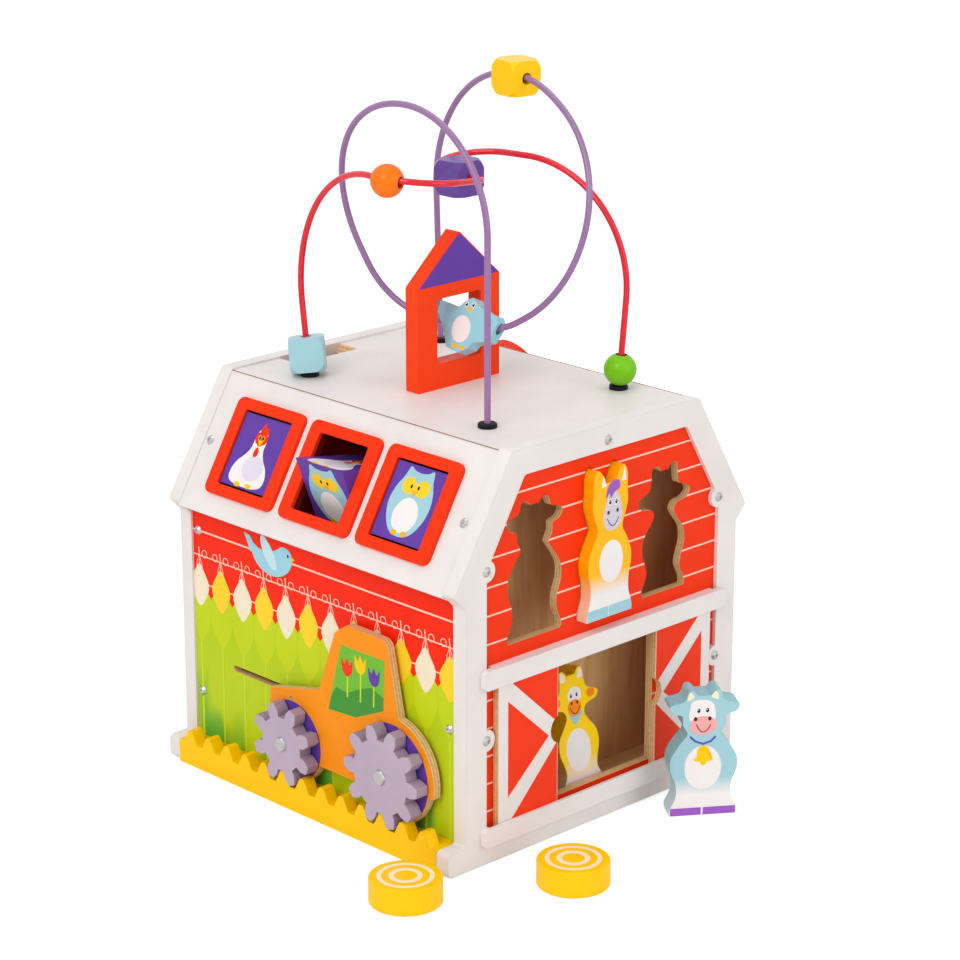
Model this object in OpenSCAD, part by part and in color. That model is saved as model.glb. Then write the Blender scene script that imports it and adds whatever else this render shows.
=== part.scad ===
// Wooden activity barn with sliding doors, a tractor on a gear rack,
// spinning picture blocks and a two-wire bead maze.
// Millimetres, +Z up. The origin is the middle of the footprint on the floor.
// The gable with the doors faces -Y, the side with the tractor faces -X.

/* [House] */
// Width over the legs of a gable frame
house_w = 260; // [250:1:300]
// Depth over the two gable frames
house_d = 288; // [284:1:320]
// Height of the flat top of a gable frame
ridge_z = 279; // [275:1:300]
// Width of the flat top of a gable frame
ridge_w = 178; // [172:1:186]
// Height of the eave tips
eave_z = 192.5; // [190:0.5:196]
// How far the eave tips stand out past the legs
eave_out = 10; // [8:0.5:14]
// Thickness of a gable frame
gable_t = 11.5; // [11:0.5:14]
// Height of the flared feet
foot_h = 17; // [12:1:17]
// How far the feet stand out past the legs
foot_out = 16; // [16:0.5:22]
// Rounding of the frame's outer corners
frame_round = 4; // [2:0.5:6]

/* [Boards] */
// Thickness of every plywood board
board_t = 6; // [5:0.5:7]
// Thickness of the frame's lip in front of its red panel
lip_t = 3; // [2.5:0.5:4]
// Width of a leg of the frame, outer edge to opening
leg_w = 18.7; // [17:0.1:21]
// Width of the frame's border along the top
top_border_w = 17.7; // [16:0.1:20]
// Height of the frame's bottom beam
beam_h = 20; // [18:0.5:20.5]
// How far the frame's lip covers the edge of its panel
lip_cover = 5; // [4:0.5:5]
// Clearance of a panel in the frame's pocket
pocket_clear = 0.4; // [0.2:0.1:0.8]
// How far the side boards lie inside the legs' outer edge
side_inset = 1.7; // [1:0.1:3]
// How far the roof boards lie below the gables' edge
roof_sink = 0.8; // [0.5:0.1:2]
// How far the roof slopes run down past the eave tips
eave_drip = 2; // [0:0.5:3]
// Underside of the side boards above the floor
side_bottom_z = 2; // [1:0.5:6]
// Top of the side boards, under the roof slopes
side_top_z = 197; // [190:1:198]
// Top of the floor board
floor_z = 14.4; // [13:0.1:20]
// Width of the square corner posts
post_w = 16; // [14:0.5:20]
// Depth from the front to the inner board behind the doorway
stall_d = 44.5; // [42:0.5:50]
// Depth of the bale chute behind the back panel
chute_d = 22; // [20:0.5:26]

/* [Doors] */
// Width of a door as a share of the house's width
door_w_share = 0.2123; // [0.2:0.0001:0.22]
// Thickness of a door
door_t = 5; // [4:0.5:6]
// Gap from the gable's middle to an open door, as a share of the house's width
door_open_share = 0.18308; // [0.17:0.0001:0.185]
// Running gap round a sliding door
door_gap = 0.3; // [0.2:0.05:0.5]
// Radius of the half-round finger notches
notch_r = 10.5; // [8:0.5:12]
// Depth of the finger notches
notch_depth = 6.6; // [5:0.2:8]
// Height of the finger notches above the floor
notch_z = 78; // [60:1:100]
// Height of a door rail
rail_h = 13.5; // [12:0.5:15]
// Thickness of the rail's lip in front of the doors
rail_lip_t = 2.3; // [2:0.1:4]
// How far the rails hold the doors' edges
rail_hold = 5.5; // [4:0.5:8]
// Underside of the lower rail
low_rail_z = 13.5; // [12:0.5:13.5]
// Underside of the upper rail
high_rail_z = 124; // [118:0.5:128]
// How far a rail runs over the legs at each end
rail_over = 5.7; // [4:0.1:8]
// Half width of the doorway
doorway_half = 50; // [46:0.5:51]
// Top of the doorway, behind the upper rail
doorway_top_z = 126; // [120:0.5:127]
// Sill of the doorway
sill_z = 27.2; // [27:0.1:27.3]

/* [Animals and bales] */
// Thickness of the animals and the hay bales
toy_t = 17.5; // [15:0.5:18]
// Distance between the middles of the animal cut-outs
cutout_pitch = 62; // [58:0.5:66]
// Sideways shift of the row of cut-outs
cutout_shift = -3; // [-6:0.5:3]
// Height of the cut-outs' feet above the floor
cutout_z = 147.4; // [144:0.2:150]
// Clearance of an animal in its cut-out
cutout_clear = 0.9; // [0.6:0.1:1.5]
// Gap under an animal's feet in its cut-out
cutout_seat = 0.3; // [0.2:0.1:0.6]
// How far the horse stands out of the red panel
horse_out = 8.7; // [4:0.1:12]
// Place of the goat across the doorway
goat_x = -6.5; // [-20:0.5:20]
// Size of the goat against its cut-out
goat_size = 0.95; // [0.9:0.01:1]
// Gap from the red panel's back to the goat's feet
goat_step = 2.2; // [1:0.1:4]
// Gap from the goat's horns to the inner board it leans against
goat_gap = 0.4; // [0.3:0.1:1]
// Size of the cow against its cut-out
cow_size = 0.97; // [0.9:0.01:1]
// Front left foot of the cow on the floor
cow_at = [31.1, -176.5]; // [-300:0.1:300]
// Turn of the cow
cow_turn = -35.4; // [-90:0.1:90]
// Diameter of a hay bale
bale_d = 48.3; // [44:0.1:50]
// Thickness of a hay bale
bale_t = 17.6; // [15:0.1:18]
// Middle of the left bale on the floor
bale_1_at = [-186.5, -146.8]; // [-300:0.1:300]
// Middle of the right bale on the floor
bale_2_at = [-90.8, -203.3]; // [-300:0.1:300]

/* [Windows] */
// Distance between the windows' middles as a share of the house's depth
window_pitch_share = 0.26736; // [0.265:0.0001:0.27]
// Width of a window frame as a share of the house's depth
window_w_share = 0.24167; // [0.23:0.0001:0.25]
// Height of a window frame up the slope
window_h = 70.7; // [68:0.1:74]
// Width of the opening in a window frame as a share of the house's depth
window_open_share = 0.16736; // [0.165:0.0001:0.18]
// Height of the opening in a window frame
window_open_h = 54.6; // [54.2:0.2:58]
// Distance from the ridge down the slope to the windows' middles
window_s = 52; // [50:0.5:54]
// Thickness of a window frame
window_t = 3; // [2:0.5:4]
// Width of a face of a picture block
block_face = 52; // [46:0.5:52]
// Length of a picture block as a share of the house's depth
block_l_share = 0.16111; // [0.15:0.0001:0.1615]
// How far a block's face lies above the roof board
block_rise = 1.6; // [0.5:0.1:2]
// Diameter of the blocks' axle
axle_d = 6; // [5:0.5:8]
// Running clearance of anything that turns on a pin, on the radius
run_clear = 0.08; // [0.05:0.01:0.1]
// Angle that the middle block is turned by
middle_block_turn = 51; // [40:1:70]
// Depth of the box behind the windows, below the gables' edge
box_depth = 47; // [46:0.5:52]

/* [Bale chute] */
// Length of the roof slot for the bales
slot_l = 53; // [51:0.5:56]
// Middle of the roof slot across the roof
slot_x = -19; // [-30:1:0]
// Width of the roof slot
slot_w = 18.8; // [18.5:0.1:20]
// Slope of the bale ramps
ramp_slope = 12; // [6:1:18]
// Gap that a bale drops through past the end of a ramp
ramp_gap = 60; // [54:1:66]
// Height of the upper ramp's fixed end
ramp_1_z = 176; // [170:1:190]
// Height of the lower ramp's fixed end
ramp_2_z = 116; // [112:1:120]
// Half width of the bale door in the back panel
hatch_half = 66; // [56:1:80]
// Height of the bale door in the back panel
hatch_h = 52; // [50:1:56]

/* [Tractor] */
// Spacing of the rack's teeth
pitch = 20; // [20:0.1:20.2]
// Number of teeth on the rack
rack_teeth = 13; // [11:2:13]
// Height of the rack's plain base
rack_base_h = 17; // [15:0.5:17]
// Height of the pitch line above the floor
pitch_z = 21.5; // [21:0.1:22]
// Height of the rack's teeth above the pitch line
rack_add = 5; // [4.5:0.1:5.1]
// How far the rack stands out past the feet
rack_proud = 0.5; // [0:0.1:2]
// Thickness of the rack's teeth
rack_tooth_t = 9; // [8:0.1:9]
// Flank angle of the teeth
flank = 28; // [26:0.5:28]
// Play between a tooth and its gap, along the pitch line
tooth_play = 0.9; // [0.7:0.1:1.2]
// Teeth on the front gear
front_teeth = 8; // [8]
// Teeth on the rear gear
rear_teeth = 10; // [10]
// Height of the gears' teeth above the pitch circle
gear_add = 3.9; // [3.4:0.1:3.9]
// Thickness of a gear
gear_t = 9.6; // [9:0.1:10]
// How far the gears stand out past the rack
gear_proud = 1.6; // [1:0.1:3]
// Place of the front gear along the side
front_gear_y = 19; // [15:0.5:25]
// Number of tooth spacings between the two gears
gear_span = 5; // [5]
// Gap between a gear and the tractor's body
gear_gap = 1.1; // [0.6:0.1:1.6]
// Thickness of the tractor's body
tractor_t = 6; // [5:0.5:6.5]
// Diameter of the gear pins
gear_pin_d = 6; // [5:0.5:8]
// Diameter of the gear pins' silver caps
cap_d = 10.4; // [9:0.2:12]
// Height of the caps
cap_h = 1.4; // [1:0.1:2]
// Radius of the tractor's wheel disc behind the front gear
front_disc_r = 29.5; // [28:0.5:29.5]
// Radius of the wheel disc behind the rear gear
rear_disc_r = 35.5; // [34:0.5:36]
// Radius of the rear fender
fender_r = 40.5; // [38:0.5:42]
// Height of the tractor's slot above the floor
slot_z = 77.3; // [74:0.1:82]
// Height of the slot
slot_h = 4.2; // [3.8:0.1:5]
// Half length of the slot along the side
slot_half = 91.5; // [88:0.5:94]
// Diameter of the tractor's guide pins
guide_d = 3.6; // [3:0.1:3.6]

/* [Cupola] */
// Width of the cupola board
cupola_w = 76.6; // [70:0.2:80]
// Height of the cupola's walls
cupola_wall_h = 72.4; // [68:0.2:76]
// Height of the cupola's tip
cupola_h = 107.4; // [100:0.2:112]
// Thickness of the cupola board
cupola_t = 12.4; // [10:0.2:14]
// Place of the cupola's front face
cupola_y = -3.2; // [-8:0.2:0]
// Half width of the cupola's window
cupola_open_half = 20.6; // [18:0.2:24]
// Sill of the cupola's window above the roof
cupola_sill = 17.9; // [15:0.1:18]
// Height of the cupola's window
cupola_open_h = 45.2; // [44:0.2:48]
// Rounding of the window's corners
cupola_open_round = 2.5; // [1:0.5:5]

/* [Bead maze] */
// Diameter of the maze wires
wire_d = 4.4; // [4:0.1:5]
// Depth that the wires reach below the roof top
wire_root = 14; // [10:0.5:20]
// Diameter of the rubber grommets
grommet_d = 13; // [11:0.5:15]
// Height of the grommets above the roof
grommet_h = 3; // [2:0.5:4]
// Size of the cube beads
cube_bead = 24; // [20:0.5:26]
// Diameter of the ball beads
ball_bead = 22.6; // [20:0.2:26]
// Play of a bead on its wire, on the radius
bead_play = 1.8; // [1.6:0.1:2.4]

/* [Roof disc] */
// Radius of the red disc on the far slope
disc_r = 21; // [18:0.5:24]
// Thickness of the disc
disc_t = 8; // [6:0.5:10]
// Distance from the ridge down the slope to the disc's middle
disc_s = 27; // [24:1:60]
// Place of the disc along the roof
disc_y = 52; // [40:1:60]

/* [Screws] */
// Diameter of the screw heads
head_d = 7; // [6:0.2:8]
// Height of the screw heads
head_h = 1.6; // [1:0.1:2.4]
// Diameter of the screws' shanks
shank_d = 3.5; // [3:0.1:4]
// Length of the screws' shanks
shank_l = 18; // [14:0.5:18]
// Radius of the frame's tabs round its screws
tab_r = 7.5; // [7:0.5:8]
// Height of the screws in the legs
leg_screw_z = 87.3; // [80:0.5:95]
// Height of the screws at the eaves
eave_screw_z = 203.6; // [200:0.2:206]
// Height of the screw at the top of a gable
top_screw_z = 268.2; // [266:0.2:270]

/* [Hidden] */
$fn = 48;
eps = 0.01;
through = 1;

// House, worked out
gable_y = house_d/2;
inner_y = gable_y - gable_t;
leg_x = house_w/2;
slope_run = leg_x + eave_out - ridge_w/2;
slope_drop = ridge_z - eave_z;
slope_a = atan2(slope_drop, slope_run);
slope_l = norm([slope_run, slope_drop]);
panel_face_y = gable_y - lip_t;
panel_back_y = panel_face_y - board_t;
open_half = leg_x - leg_w;
open_top_z = ridge_z - top_border_w;
side_x = leg_x - side_inset;
side_in_x = side_x - board_t;
door_w = door_w_share*house_w;
door_open_x = door_open_share*house_w;
window_pitch = window_pitch_share*house_d;
window_w = window_w_share*house_d;
window_open_w = window_open_share*house_d;
block_l = block_l_share*house_d;
stall_y = gable_y - stall_d;
chute_y = panel_back_y - chute_d;
roof_top_z = ridge_z - roof_sink - 0.6;
roof_under_z = roof_top_z - board_t;

// Doors, worked out
door_back_y = panel_face_y + door_gap;
door_front_y = door_back_y + door_t;
rail_back_y = door_front_y + door_gap;
rail_front_y = rail_back_y + rail_lip_t;
rail_half = open_half + rail_over;
groove_low_z = low_rail_z + rail_h - rail_hold;
groove_high_z = high_rail_z + rail_hold;
door_z0 = groove_low_z + door_gap;
door_h = groove_high_z - door_gap - door_z0;

// Windows, worked out
block_in_r = block_face/(2*sqrt(3));
block_out_r = block_face/sqrt(3);
axle_off = -roof_sink + block_rise - block_in_r;
swing_r = block_out_r + 0.6;
roof_hole_h = 2*sqrt(pow(swing_r, 2) - pow(-roof_sink - board_t - axle_off, 2)) + 0.6;
axle_y0 = -stall_y - 12;
axle_y1 = chute_y;

// Tractor, worked out
rack_x = leg_x + foot_out + rack_proud;
gear_x = rack_x + gear_proud;
tractor_x = gear_x - gear_t - gear_gap;
front_r = front_teeth*pitch/(2*PI);
rear_r = rear_teeth*pitch/(2*PI);
rear_gear_y = front_gear_y - gear_span*pitch;
front_gear_z = pitch_z + front_r;
rear_gear_z = pitch_z + rear_r;
tip_clear = 0.7;
rolled = front_gear_y - pitch/2;
tooth_w = (pitch - tooth_play)/2;
rack_end_y = inner_y;
strip_clear = 0.9;
front_guide_y = front_gear_y + 1;
rear_guide_y = rear_gear_y;
keeper_gap = 0.4;
keeper_t = 6;

// Maze wires, each in two halves that run from a foot to the middle of the wire.
// A bend is [straight before it, roll, angle, radius]; the last entry is the straight
// that ends at the middle.
purple_front_foot = [-58.5, -90.5];
purple_front_bearing = 88.87;
purple_front_lean = 0;
purple_front_bends = [
    [124.1, 0, 89.9, 77.8],
    [0, -15.67, 110.03, 89],
    [10.8, -18.06, 66.38, 60.5],
    [17, 0, 0, 0]
];
purple_back_foot = [68.5, 87.5];
purple_back_bearing = 263.11;
purple_back_lean = 2.3;
purple_back_bends = [
    [112.5, 0, 124.3, 90.3],
    [4.4, -16.74, 114.8, 85],
    [8.2, -26.46, 31.37, 40],
    [20.96, 0, 0, 0]
];
red_back_foot = [-59.5, 84.5];
red_back_bearing = -98.97;
red_back_lean = 9.2;
red_back_bends = [
    [51.1, 0, 97.7, 89.5],
    [2.6, 82.91, 113.06, 33.8],
    [27.2, 0.38, 76.03, 12.8],
    [16.05, 0, 0, 0]
];
red_front_foot = [69.5, -87.5];
red_front_bearing = 100.98;
red_front_lean = 4.6;
red_front_bends = [
    [63.9, 0, 94.3, 82.2],
    [16.7, 77.67, 47.46, 41.4],
    [0, 3.08, 121.83, 18.7],
    [13.5, 0, 0, 0]
];

// ---------- outlines ----------

function unit(v) = v/norm(v);

// The arc that rounds corner b between neighbours a and c
function corner(a, b, c, r, steps) =
    let (
        u = unit(a - b),
        w = unit(c - b),
        half = acos(u*w)/2,
        mid = b + unit(u + w)*r/sin(half),
        from = b + u*r/tan(half) - mid,
        to = b + w*r/tan(half) - mid,
        start = atan2(from.y, from.x),
        raw = atan2(to.y, to.x) - start,
        turn = raw > 180 ? raw - 360 : raw < -180 ? raw + 360 : raw
    )
    r <= 0 ? [b] :
    [for (i = [0 : steps]) mid + r*[cos(start + turn*i/steps), sin(start + turn*i/steps)]];

// An outline with a radius for each corner
function rounded(pts, radii, steps = 6) =
    let (n = len(pts))
    [for (i = [0 : n - 1])
        each corner(pts[(i + n - 1) % n], pts[i], pts[(i + 1) % n], radii[i], steps)];

// A rectangle with four equal roundings, its middle at the origin
function soft_box(w, h, r) =
    rounded([[-w/2, -h/2], [w/2, -h/2], [w/2, h/2], [-w/2, h/2]], [r, r, r, r]);

// Half an outline and its mirror image, as one ring
function both_sides(half) =
    concat(half, [for (i = [len(half) - 1 : -1 : 0]) [-half[i].x, half[i].y]]);

// A smooth line through points
function curve_point(a, b, c, d, t) =
    0.5*((2*b) + (c - a)*t + (2*a - 5*b + 4*c - d)*t*t + (3*b - a - 3*c + d)*t*t*t);
function smooth(pts, steps = 3) =
    let (n = len(pts))
    concat(
        [for (i = [0 : n - 2], k = [0 : steps - 1])
            curve_point(pts[max(i - 1, 0)], pts[i], pts[i + 1], pts[min(i + 2, n - 1)], k/steps)],
        [pts[n - 1]]);

// The ring moved outwards by a clearance
function grown(ring, gap) =
    let (n = len(ring))
    [for (i = [0 : n - 1])
        let (along = unit(ring[(i + 1) % n] - ring[(i + n - 1) % n]))
        ring[i] + gap*[along.y, -along.x]];

// ---------- placing ----------

// The children's XY plane stands upright, their +Z runs towards -Y from y
module upright(y) {
    translate([0, y, 0])
        rotate([90, 0, 0])
            children();
}

// Local +X runs up the left slope, +Z out of it; s is measured from the ridge
module on_slope(s = 0, y = 0) {
    translate([-ridge_w/2, y, ridge_z])
        rotate([0, -slope_a, 0])
            translate([-s, 0, 0])
                children();
}

// A plate on the tractor side: outline in (Y, Z), its outer face at -x
module on_side(x, t) {
    translate([-x, 0, 0])
        rotate([90, 0, 90])
            linear_extrude(t)
                children();
}

// ---------- gables ----------

gable_half = [
    [leg_x + foot_out, 0], [leg_x + foot_out, foot_h], [leg_x, foot_h],
    [leg_x, eave_z - eave_out], [leg_x + eave_out, eave_z], [ridge_w/2, ridge_z]
];
gable_radii = [frame_round, frame_round, 2, 3, 2.5, frame_round];

// The frame has a flared foot only on the side that carries the rack,
// -1 or 1 as seen from outside; the other leg runs straight down.
function gable_outline(rack_side) =
    let (
        plain = concat([[leg_x, 0]], [for (i = [3 : 5]) gable_half[i]]),
        plain_radii = concat([frame_round], [for (i = [3 : 5]) gable_radii[i]]),
        right = rack_side > 0 ? gable_half : plain,
        right_radii = rack_side > 0 ? gable_radii : plain_radii,
        left = rack_side < 0 ? gable_half : plain,
        left_radii = rack_side < 0 ? gable_radii : plain_radii,
        back = [len(left) - 1 : -1 : 0]
    )
    rounded(
        concat(right, [for (i = back) [-left[i].x, left[i].y]]),
        concat(right_radii, [for (i = back) left_radii[i]])
    );

// The frame's opening grown by g: flat top, slopes, legs, beam
function inner_half(g) =
    let (
        run = [-cos(slope_a), sin(slope_a)],
        out = [sin(slope_a), cos(slope_a)],
        shoulder = [leg_x + eave_out, eave_z] - out*top_border_w*1.08 + out*g,
        x = open_half + g,
        top = open_top_z + g
    )
    [
        [x, beam_h - g],
        [x, shoulder.y + (shoulder.x - x)*run.y/-run.x],
        [shoulder.x - (top - shoulder.y)*-run.x/run.y, top]
    ];

module inner_shape(g, r) {
    polygon(rounded(both_sides(inner_half(g)), [r, r, r, r, r, r]));
}

module screw_spots() {
    for (side = [-1, 1]) {
        translate([side*open_half, leg_screw_z])
            children();
        translate([side*open_half, eave_screw_z])
            children();
    }
}

module gable_frame(top_x, rack_side) {
    difference() {
        linear_extrude(gable_t)
            polygon(gable_outline(rack_side));
        translate([0, 0, gable_t - lip_t - eps])
            linear_extrude(lip_t + through)
                difference() {
                    inner_shape(0, 4);
                    screw_spots()
                        circle(tab_r);
                }
        translate([0, 0, -through])
            linear_extrude(gable_t - lip_t + through)
                inner_shape(lip_cover, 2);
        translate([0, 0, -through]) {
            screw_spots()
                cylinder(h = gable_t + 2*through, d = shank_d);
            translate([top_x, top_screw_z])
                cylinder(h = gable_t + 2*through, d = shank_d);
        }
    }
}

back_top_screw_x = slot_x + slot_l/2 + 30;

module front_gable_frame() {
    color("white")
        upright(-inner_y)
            gable_frame(0, -1);
}

module back_gable_frame() {
    color("white")
        rotate([0, 0, 180])
            upright(-inner_y)
                gable_frame(-back_top_screw_x, 1);
}

module panel_blank() {
    difference() {
        linear_extrude(board_t)
            inner_shape(lip_cover - pocket_clear, 2);
        translate([0, 0, -through])
            screw_spots()
                cylinder(h = board_t + 2*through, d = shank_d);
    }
}

function cutout_x(i) = cutout_shift + i*cutout_pitch;

// The hole for an animal, with the gap under its feet kept small
module cutout(i, ring) {
    translate([cutout_x(i), cutout_z])
        polygon([for (p = grown(ring, cutout_clear)) [p.x, max(p.y, -cutout_seat)]]);
}

module front_panel() {
    color("red")
        upright(-panel_back_y)
            difference() {
                panel_blank();
                translate([0, 0, -through])
                    linear_extrude(board_t + 2*through) {
                        translate([-doorway_half, sill_z])
                            square([2*doorway_half, doorway_top_z - sill_z]);
                        cutout(-1, cow_outline());
                        cutout(0, horse_outline());
                        cutout(1, goat_outline());
                    }
                translate([0, top_screw_z, -through])
                    cylinder(h = board_t + 2*through, d = shank_d);
            }
}

module back_panel() {
    color("red")
        rotate([0, 0, 180])
            upright(-panel_back_y)
                difference() {
                    panel_blank();
                    translate([0, 0, -through])
                        linear_extrude(board_t + 2*through)
                            translate([0, sill_z + hatch_h/2])
                                polygon(soft_box(2*hatch_half, hatch_h, 8));
                }
}

// ---------- side boards ----------

module side_board(slotted) {
    difference() {
        translate([-side_x, -inner_y, side_bottom_z])
            cube([board_t, 2*inner_y, side_top_z - side_bottom_z]);
        if (slotted)
            translate([-side_x - through, 0, slot_z])
                rotate([90, 0, 90])
                    linear_extrude(board_t + 2*through)
                        polygon(soft_box(2*slot_half, slot_h, slot_h/2 - 0.1));
        side_screw_spots()
            translate([-through, 0, 0])
                rotate([0, 90, 0])
                    cylinder(h = board_t + 2*through, d = shank_d);
    }
}

side_screw_y = inner_y + 2.4 - post_w/2;
back_screw_z = [170.5, 50.3];
front_screw_z = [95.4];

module side_screw_spots() {
    for (z = back_screw_z)
        translate([-side_x, side_screw_y, z])
            children();
    for (z = front_screw_z)
        translate([-side_x, -side_screw_y, z])
            children();
}

module left_side_panel() {
    color("yellowgreen")
        side_board(true);
}

module right_side_panel() {
    color("yellowgreen")
        mirror([1, 0, 0])
            side_board(false);
}

// ---------- roof ----------

// Corner of a roof board's face: ridge line and eave line, sunk by d
function slope_at(s, d) =
    [-ridge_w/2 - s*cos(slope_a) + d*sin(slope_a), ridge_z - s*sin(slope_a) - d*cos(slope_a)];
function ridge_corner(d, z) =
    let (p = slope_at(0, d))
    [p.x + (z - p.y)/tan(slope_a), z];

module slope_blank() {
    upright(inner_y)
        linear_extrude(2*inner_y)
            polygon([
                ridge_corner(roof_sink, roof_top_z),
                slope_at(slope_l + eave_drip, roof_sink),
                slope_at(slope_l + eave_drip, roof_sink + board_t),
                ridge_corner(roof_sink + board_t, roof_under_z)
            ]);
}

roof_screw_s = 52.4;

module roof_screw_spots() {
    for (side = [-1, 1])
        on_slope(roof_screw_s, side*side_screw_y)
            children();
}

module left_roof_panel() {
    color("white")
        difference() {
            slope_blank();
            for (i = [-1 : 1])
                on_slope(window_s, i*window_pitch)
                    translate([0, 0, -roof_sink - board_t/2])
                        cube([roof_hole_h, window_open_w + 2, board_t + 2*through], center = true);
            roof_screw_spots()
                translate([0, 0, -2*board_t])
                    cylinder(h = 3*board_t, d = shank_d);
        }
}

module right_roof_panel() {
    color("white")
        difference() {
            mirror([1, 0, 0])
                slope_blank();
            mirror([1, 0, 0]) {
                roof_screw_spots()
                    translate([0, 0, -2*board_t])
                        cylinder(h = 3*board_t, d = shank_d);
                on_slope(disc_s, disc_y)
                    translate([0, 0, -2*board_t])
                        cylinder(h = 3*board_t, d = gear_pin_d);
            }
        }
}

slot_wedge = 4;

module top_roof_panel() {
    left_out = ridge_corner(roof_sink, roof_top_z);
    left_in = ridge_corner(roof_sink + board_t, roof_under_z);
    color("white")
        difference() {
            upright(inner_y)
                linear_extrude(2*inner_y)
                    polygon([left_out, [-left_out.x, left_out.y], [-left_in.x, left_in.y], left_in]);
            translate([slot_x - slot_l/2, inner_y - slot_w, roof_under_z - through])
                cube([slot_l, slot_w + through, board_t + 2*through]);
            upright(inner_y + through)
                linear_extrude(slot_w + through)
                    polygon([
                        [slot_x + slot_l/2 - eps, roof_under_z - eps],
                        [slot_x + slot_l/2 + slot_wedge, roof_top_z + eps],
                        [slot_x + slot_l/2 - eps, roof_top_z + eps]
                    ]);
            wire_feet()
                translate([0, 0, -2*board_t])
                    cylinder(h = 3*board_t, d = wire_d + 1.6);
            cupola_dowel_spots()
                translate([0, 0, -2*board_t])
                    cylinder(h = 3*board_t, d = dowel_d);
        }
}

// ---------- inner boards ----------

module floor_board() {
    color("burlywood")
        difference() {
            translate([-side_in_x, -inner_y, floor_z - board_t])
                cube([2*side_in_x, 2*inner_y, board_t]);
            for (sx = [-1, 1], sy = [-1, 1])
                translate([sx*side_in_x, sy*panel_back_y, floor_z])
                    cube([2*post_w, 2*(panel_back_y - inner_y + post_w), 3*board_t], center = true);
        }
}

// The inside of the roof as an outline, for the boards that fill it
function attic_half() =
    let (
        top = ridge_corner(roof_sink + board_t, roof_under_z),
        wall = slope_at(0, roof_sink + board_t),
        low = wall.y - (side_in_x + wall.x)*tan(slope_a)
    )
    [[side_in_x, floor_z], [side_in_x, low], [-top.x, top.y]];

module attic_board() {
    linear_extrude(board_t)
        difference() {
            polygon(both_sides(attic_half()));
            children();
        }
}

// The line of the box's back board, sunk d below the slope
function box_line(s, d) = slope_at(s, d);
box_s0 = 8;
box_s1 = 92;

module stall_board() {
    low = box_line(box_s1, box_depth + board_t);
    high = box_line(-4, box_depth + board_t);
    color("burlywood")
        upright(-stall_y + board_t)
            attic_board()
                polygon([
                    low,
                    high,
                    [high.x, ridge_z],
                    [-leg_x, ridge_z],
                    [-leg_x, low.y]
                ]);
}

module chute_board() {
    color("burlywood")
        upright(chute_y)
            attic_board()
                translate(slope_at(window_s, -axle_off))
                    circle(d = axle_d);
}

module corner_posts() {
    color("burlywood")
        for (sx = [-1, 1], sy = [-1, 1])
            scale([sx, sy, 1])
                difference() {
                    union() {
                        translate([side_in_x - post_w, inner_y - post_w, side_bottom_z + 2])
                            cube([post_w, post_w, post_top_z - side_bottom_z - 2]);
                        translate([side_in_x - post_w, inner_y - eps, beam_h])
                            cube([
                                open_half + lip_cover - pocket_clear - side_in_x + post_w,
                                panel_back_y - inner_y + eps,
                                post_top_z - beam_h
                            ]);
                    }
                    translate([open_half, 0, leg_screw_z])
                        rotate([-90, 0, 0])
                            cylinder(h = gable_y, d = shank_d);
                    for (z = sy > 0 ? back_screw_z : front_screw_z)
                        translate([side_x, side_screw_y, z])
                            rotate([0, -90, 0])
                                cylinder(h = board_t + shank_l, d = shank_d);
                }
}
post_top_z = 184;

cleat_s0 = 30;
cleat_s1 = 72;
cleat_t = 13;

module cleat(y, screw) {
    on_slope(0, 0)
        translate([-cleat_s1, y, -roof_sink - board_t - cleat_t])
            difference() {
                cube([cleat_s1 - cleat_s0, cleat_t, cleat_t]);
                translate([cleat_s1 - roof_screw_s, screw - y, -through])
                    cylinder(h = cleat_t + 2*through, d = shank_d);
            }
}

top_cleat_w = 40;

module roof_cleats() {
    color("burlywood") {
        for (flip = [0, 1])
            mirror([flip, 0, 0]) {
                cleat(-inner_y, -side_screw_y);
                cleat(inner_y - cleat_t, side_screw_y);
            }
        top_cleat(0, -inner_y);
        top_cleat(back_top_screw_x, inner_y - cleat_t);
    }
}

module top_cleat(x, y) {
    translate([x - top_cleat_w/2, y, roof_under_z - cleat_t])
        difference() {
            cube([top_cleat_w, cleat_t, cleat_t]);
            translate([top_cleat_w/2, -through, top_screw_z - roof_under_z + cleat_t])
                rotate([-90, 0, 0])
                    cylinder(h = cleat_t + 2*through, d = shank_d);
        }
}

// ---------- doors ----------

module rail_shape() {
    rotate([90, 0, 0])
        linear_extrude(rail_front_y - gable_y)
            polygon(soft_box(2*rail_half, rail_h, 3));
}

// A rail, and a spacer behind it that reaches the red panel between two heights
module rail(z0, from, to) {
    translate([0, -gable_y, z0 + rail_h/2])
        rail_shape();
    translate([-open_half + frame_round, -gable_y - eps, from])
        cube([2*(open_half - frame_round), lip_t + eps, to - from]);
}

module lower_door_rail() {
    color("white")
        difference() {
            rail(low_rail_z, beam_h, groove_low_z);
            translate([-open_half, -rail_back_y, groove_low_z])
                cube([2*open_half, rail_back_y, rail_h]);
        }
}

module upper_door_rail() {
    color("white")
        difference() {
            rail(high_rail_z, groove_high_z, high_rail_z + rail_h);
            translate([-open_half, -rail_back_y, groove_high_z - rail_h])
                cube([2*open_half, rail_back_y, rail_h]);
        }
}

module door() {
    difference() {
        translate([door_open_x, -door_front_y, door_z0])
            cube([door_w, door_t, door_h]);
        translate([door_open_x + notch_depth - notch_r, -door_front_y - through, notch_z])
            rotate([-90, 0, 0])
                cylinder(h = door_t + 2*through, r = notch_r);
    }
}

module left_door() {
    color("red")
        mirror([1, 0, 0])
            door();
}

module right_door() {
    color("red")
        door();
}

// ---------- windows and picture blocks ----------

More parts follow.
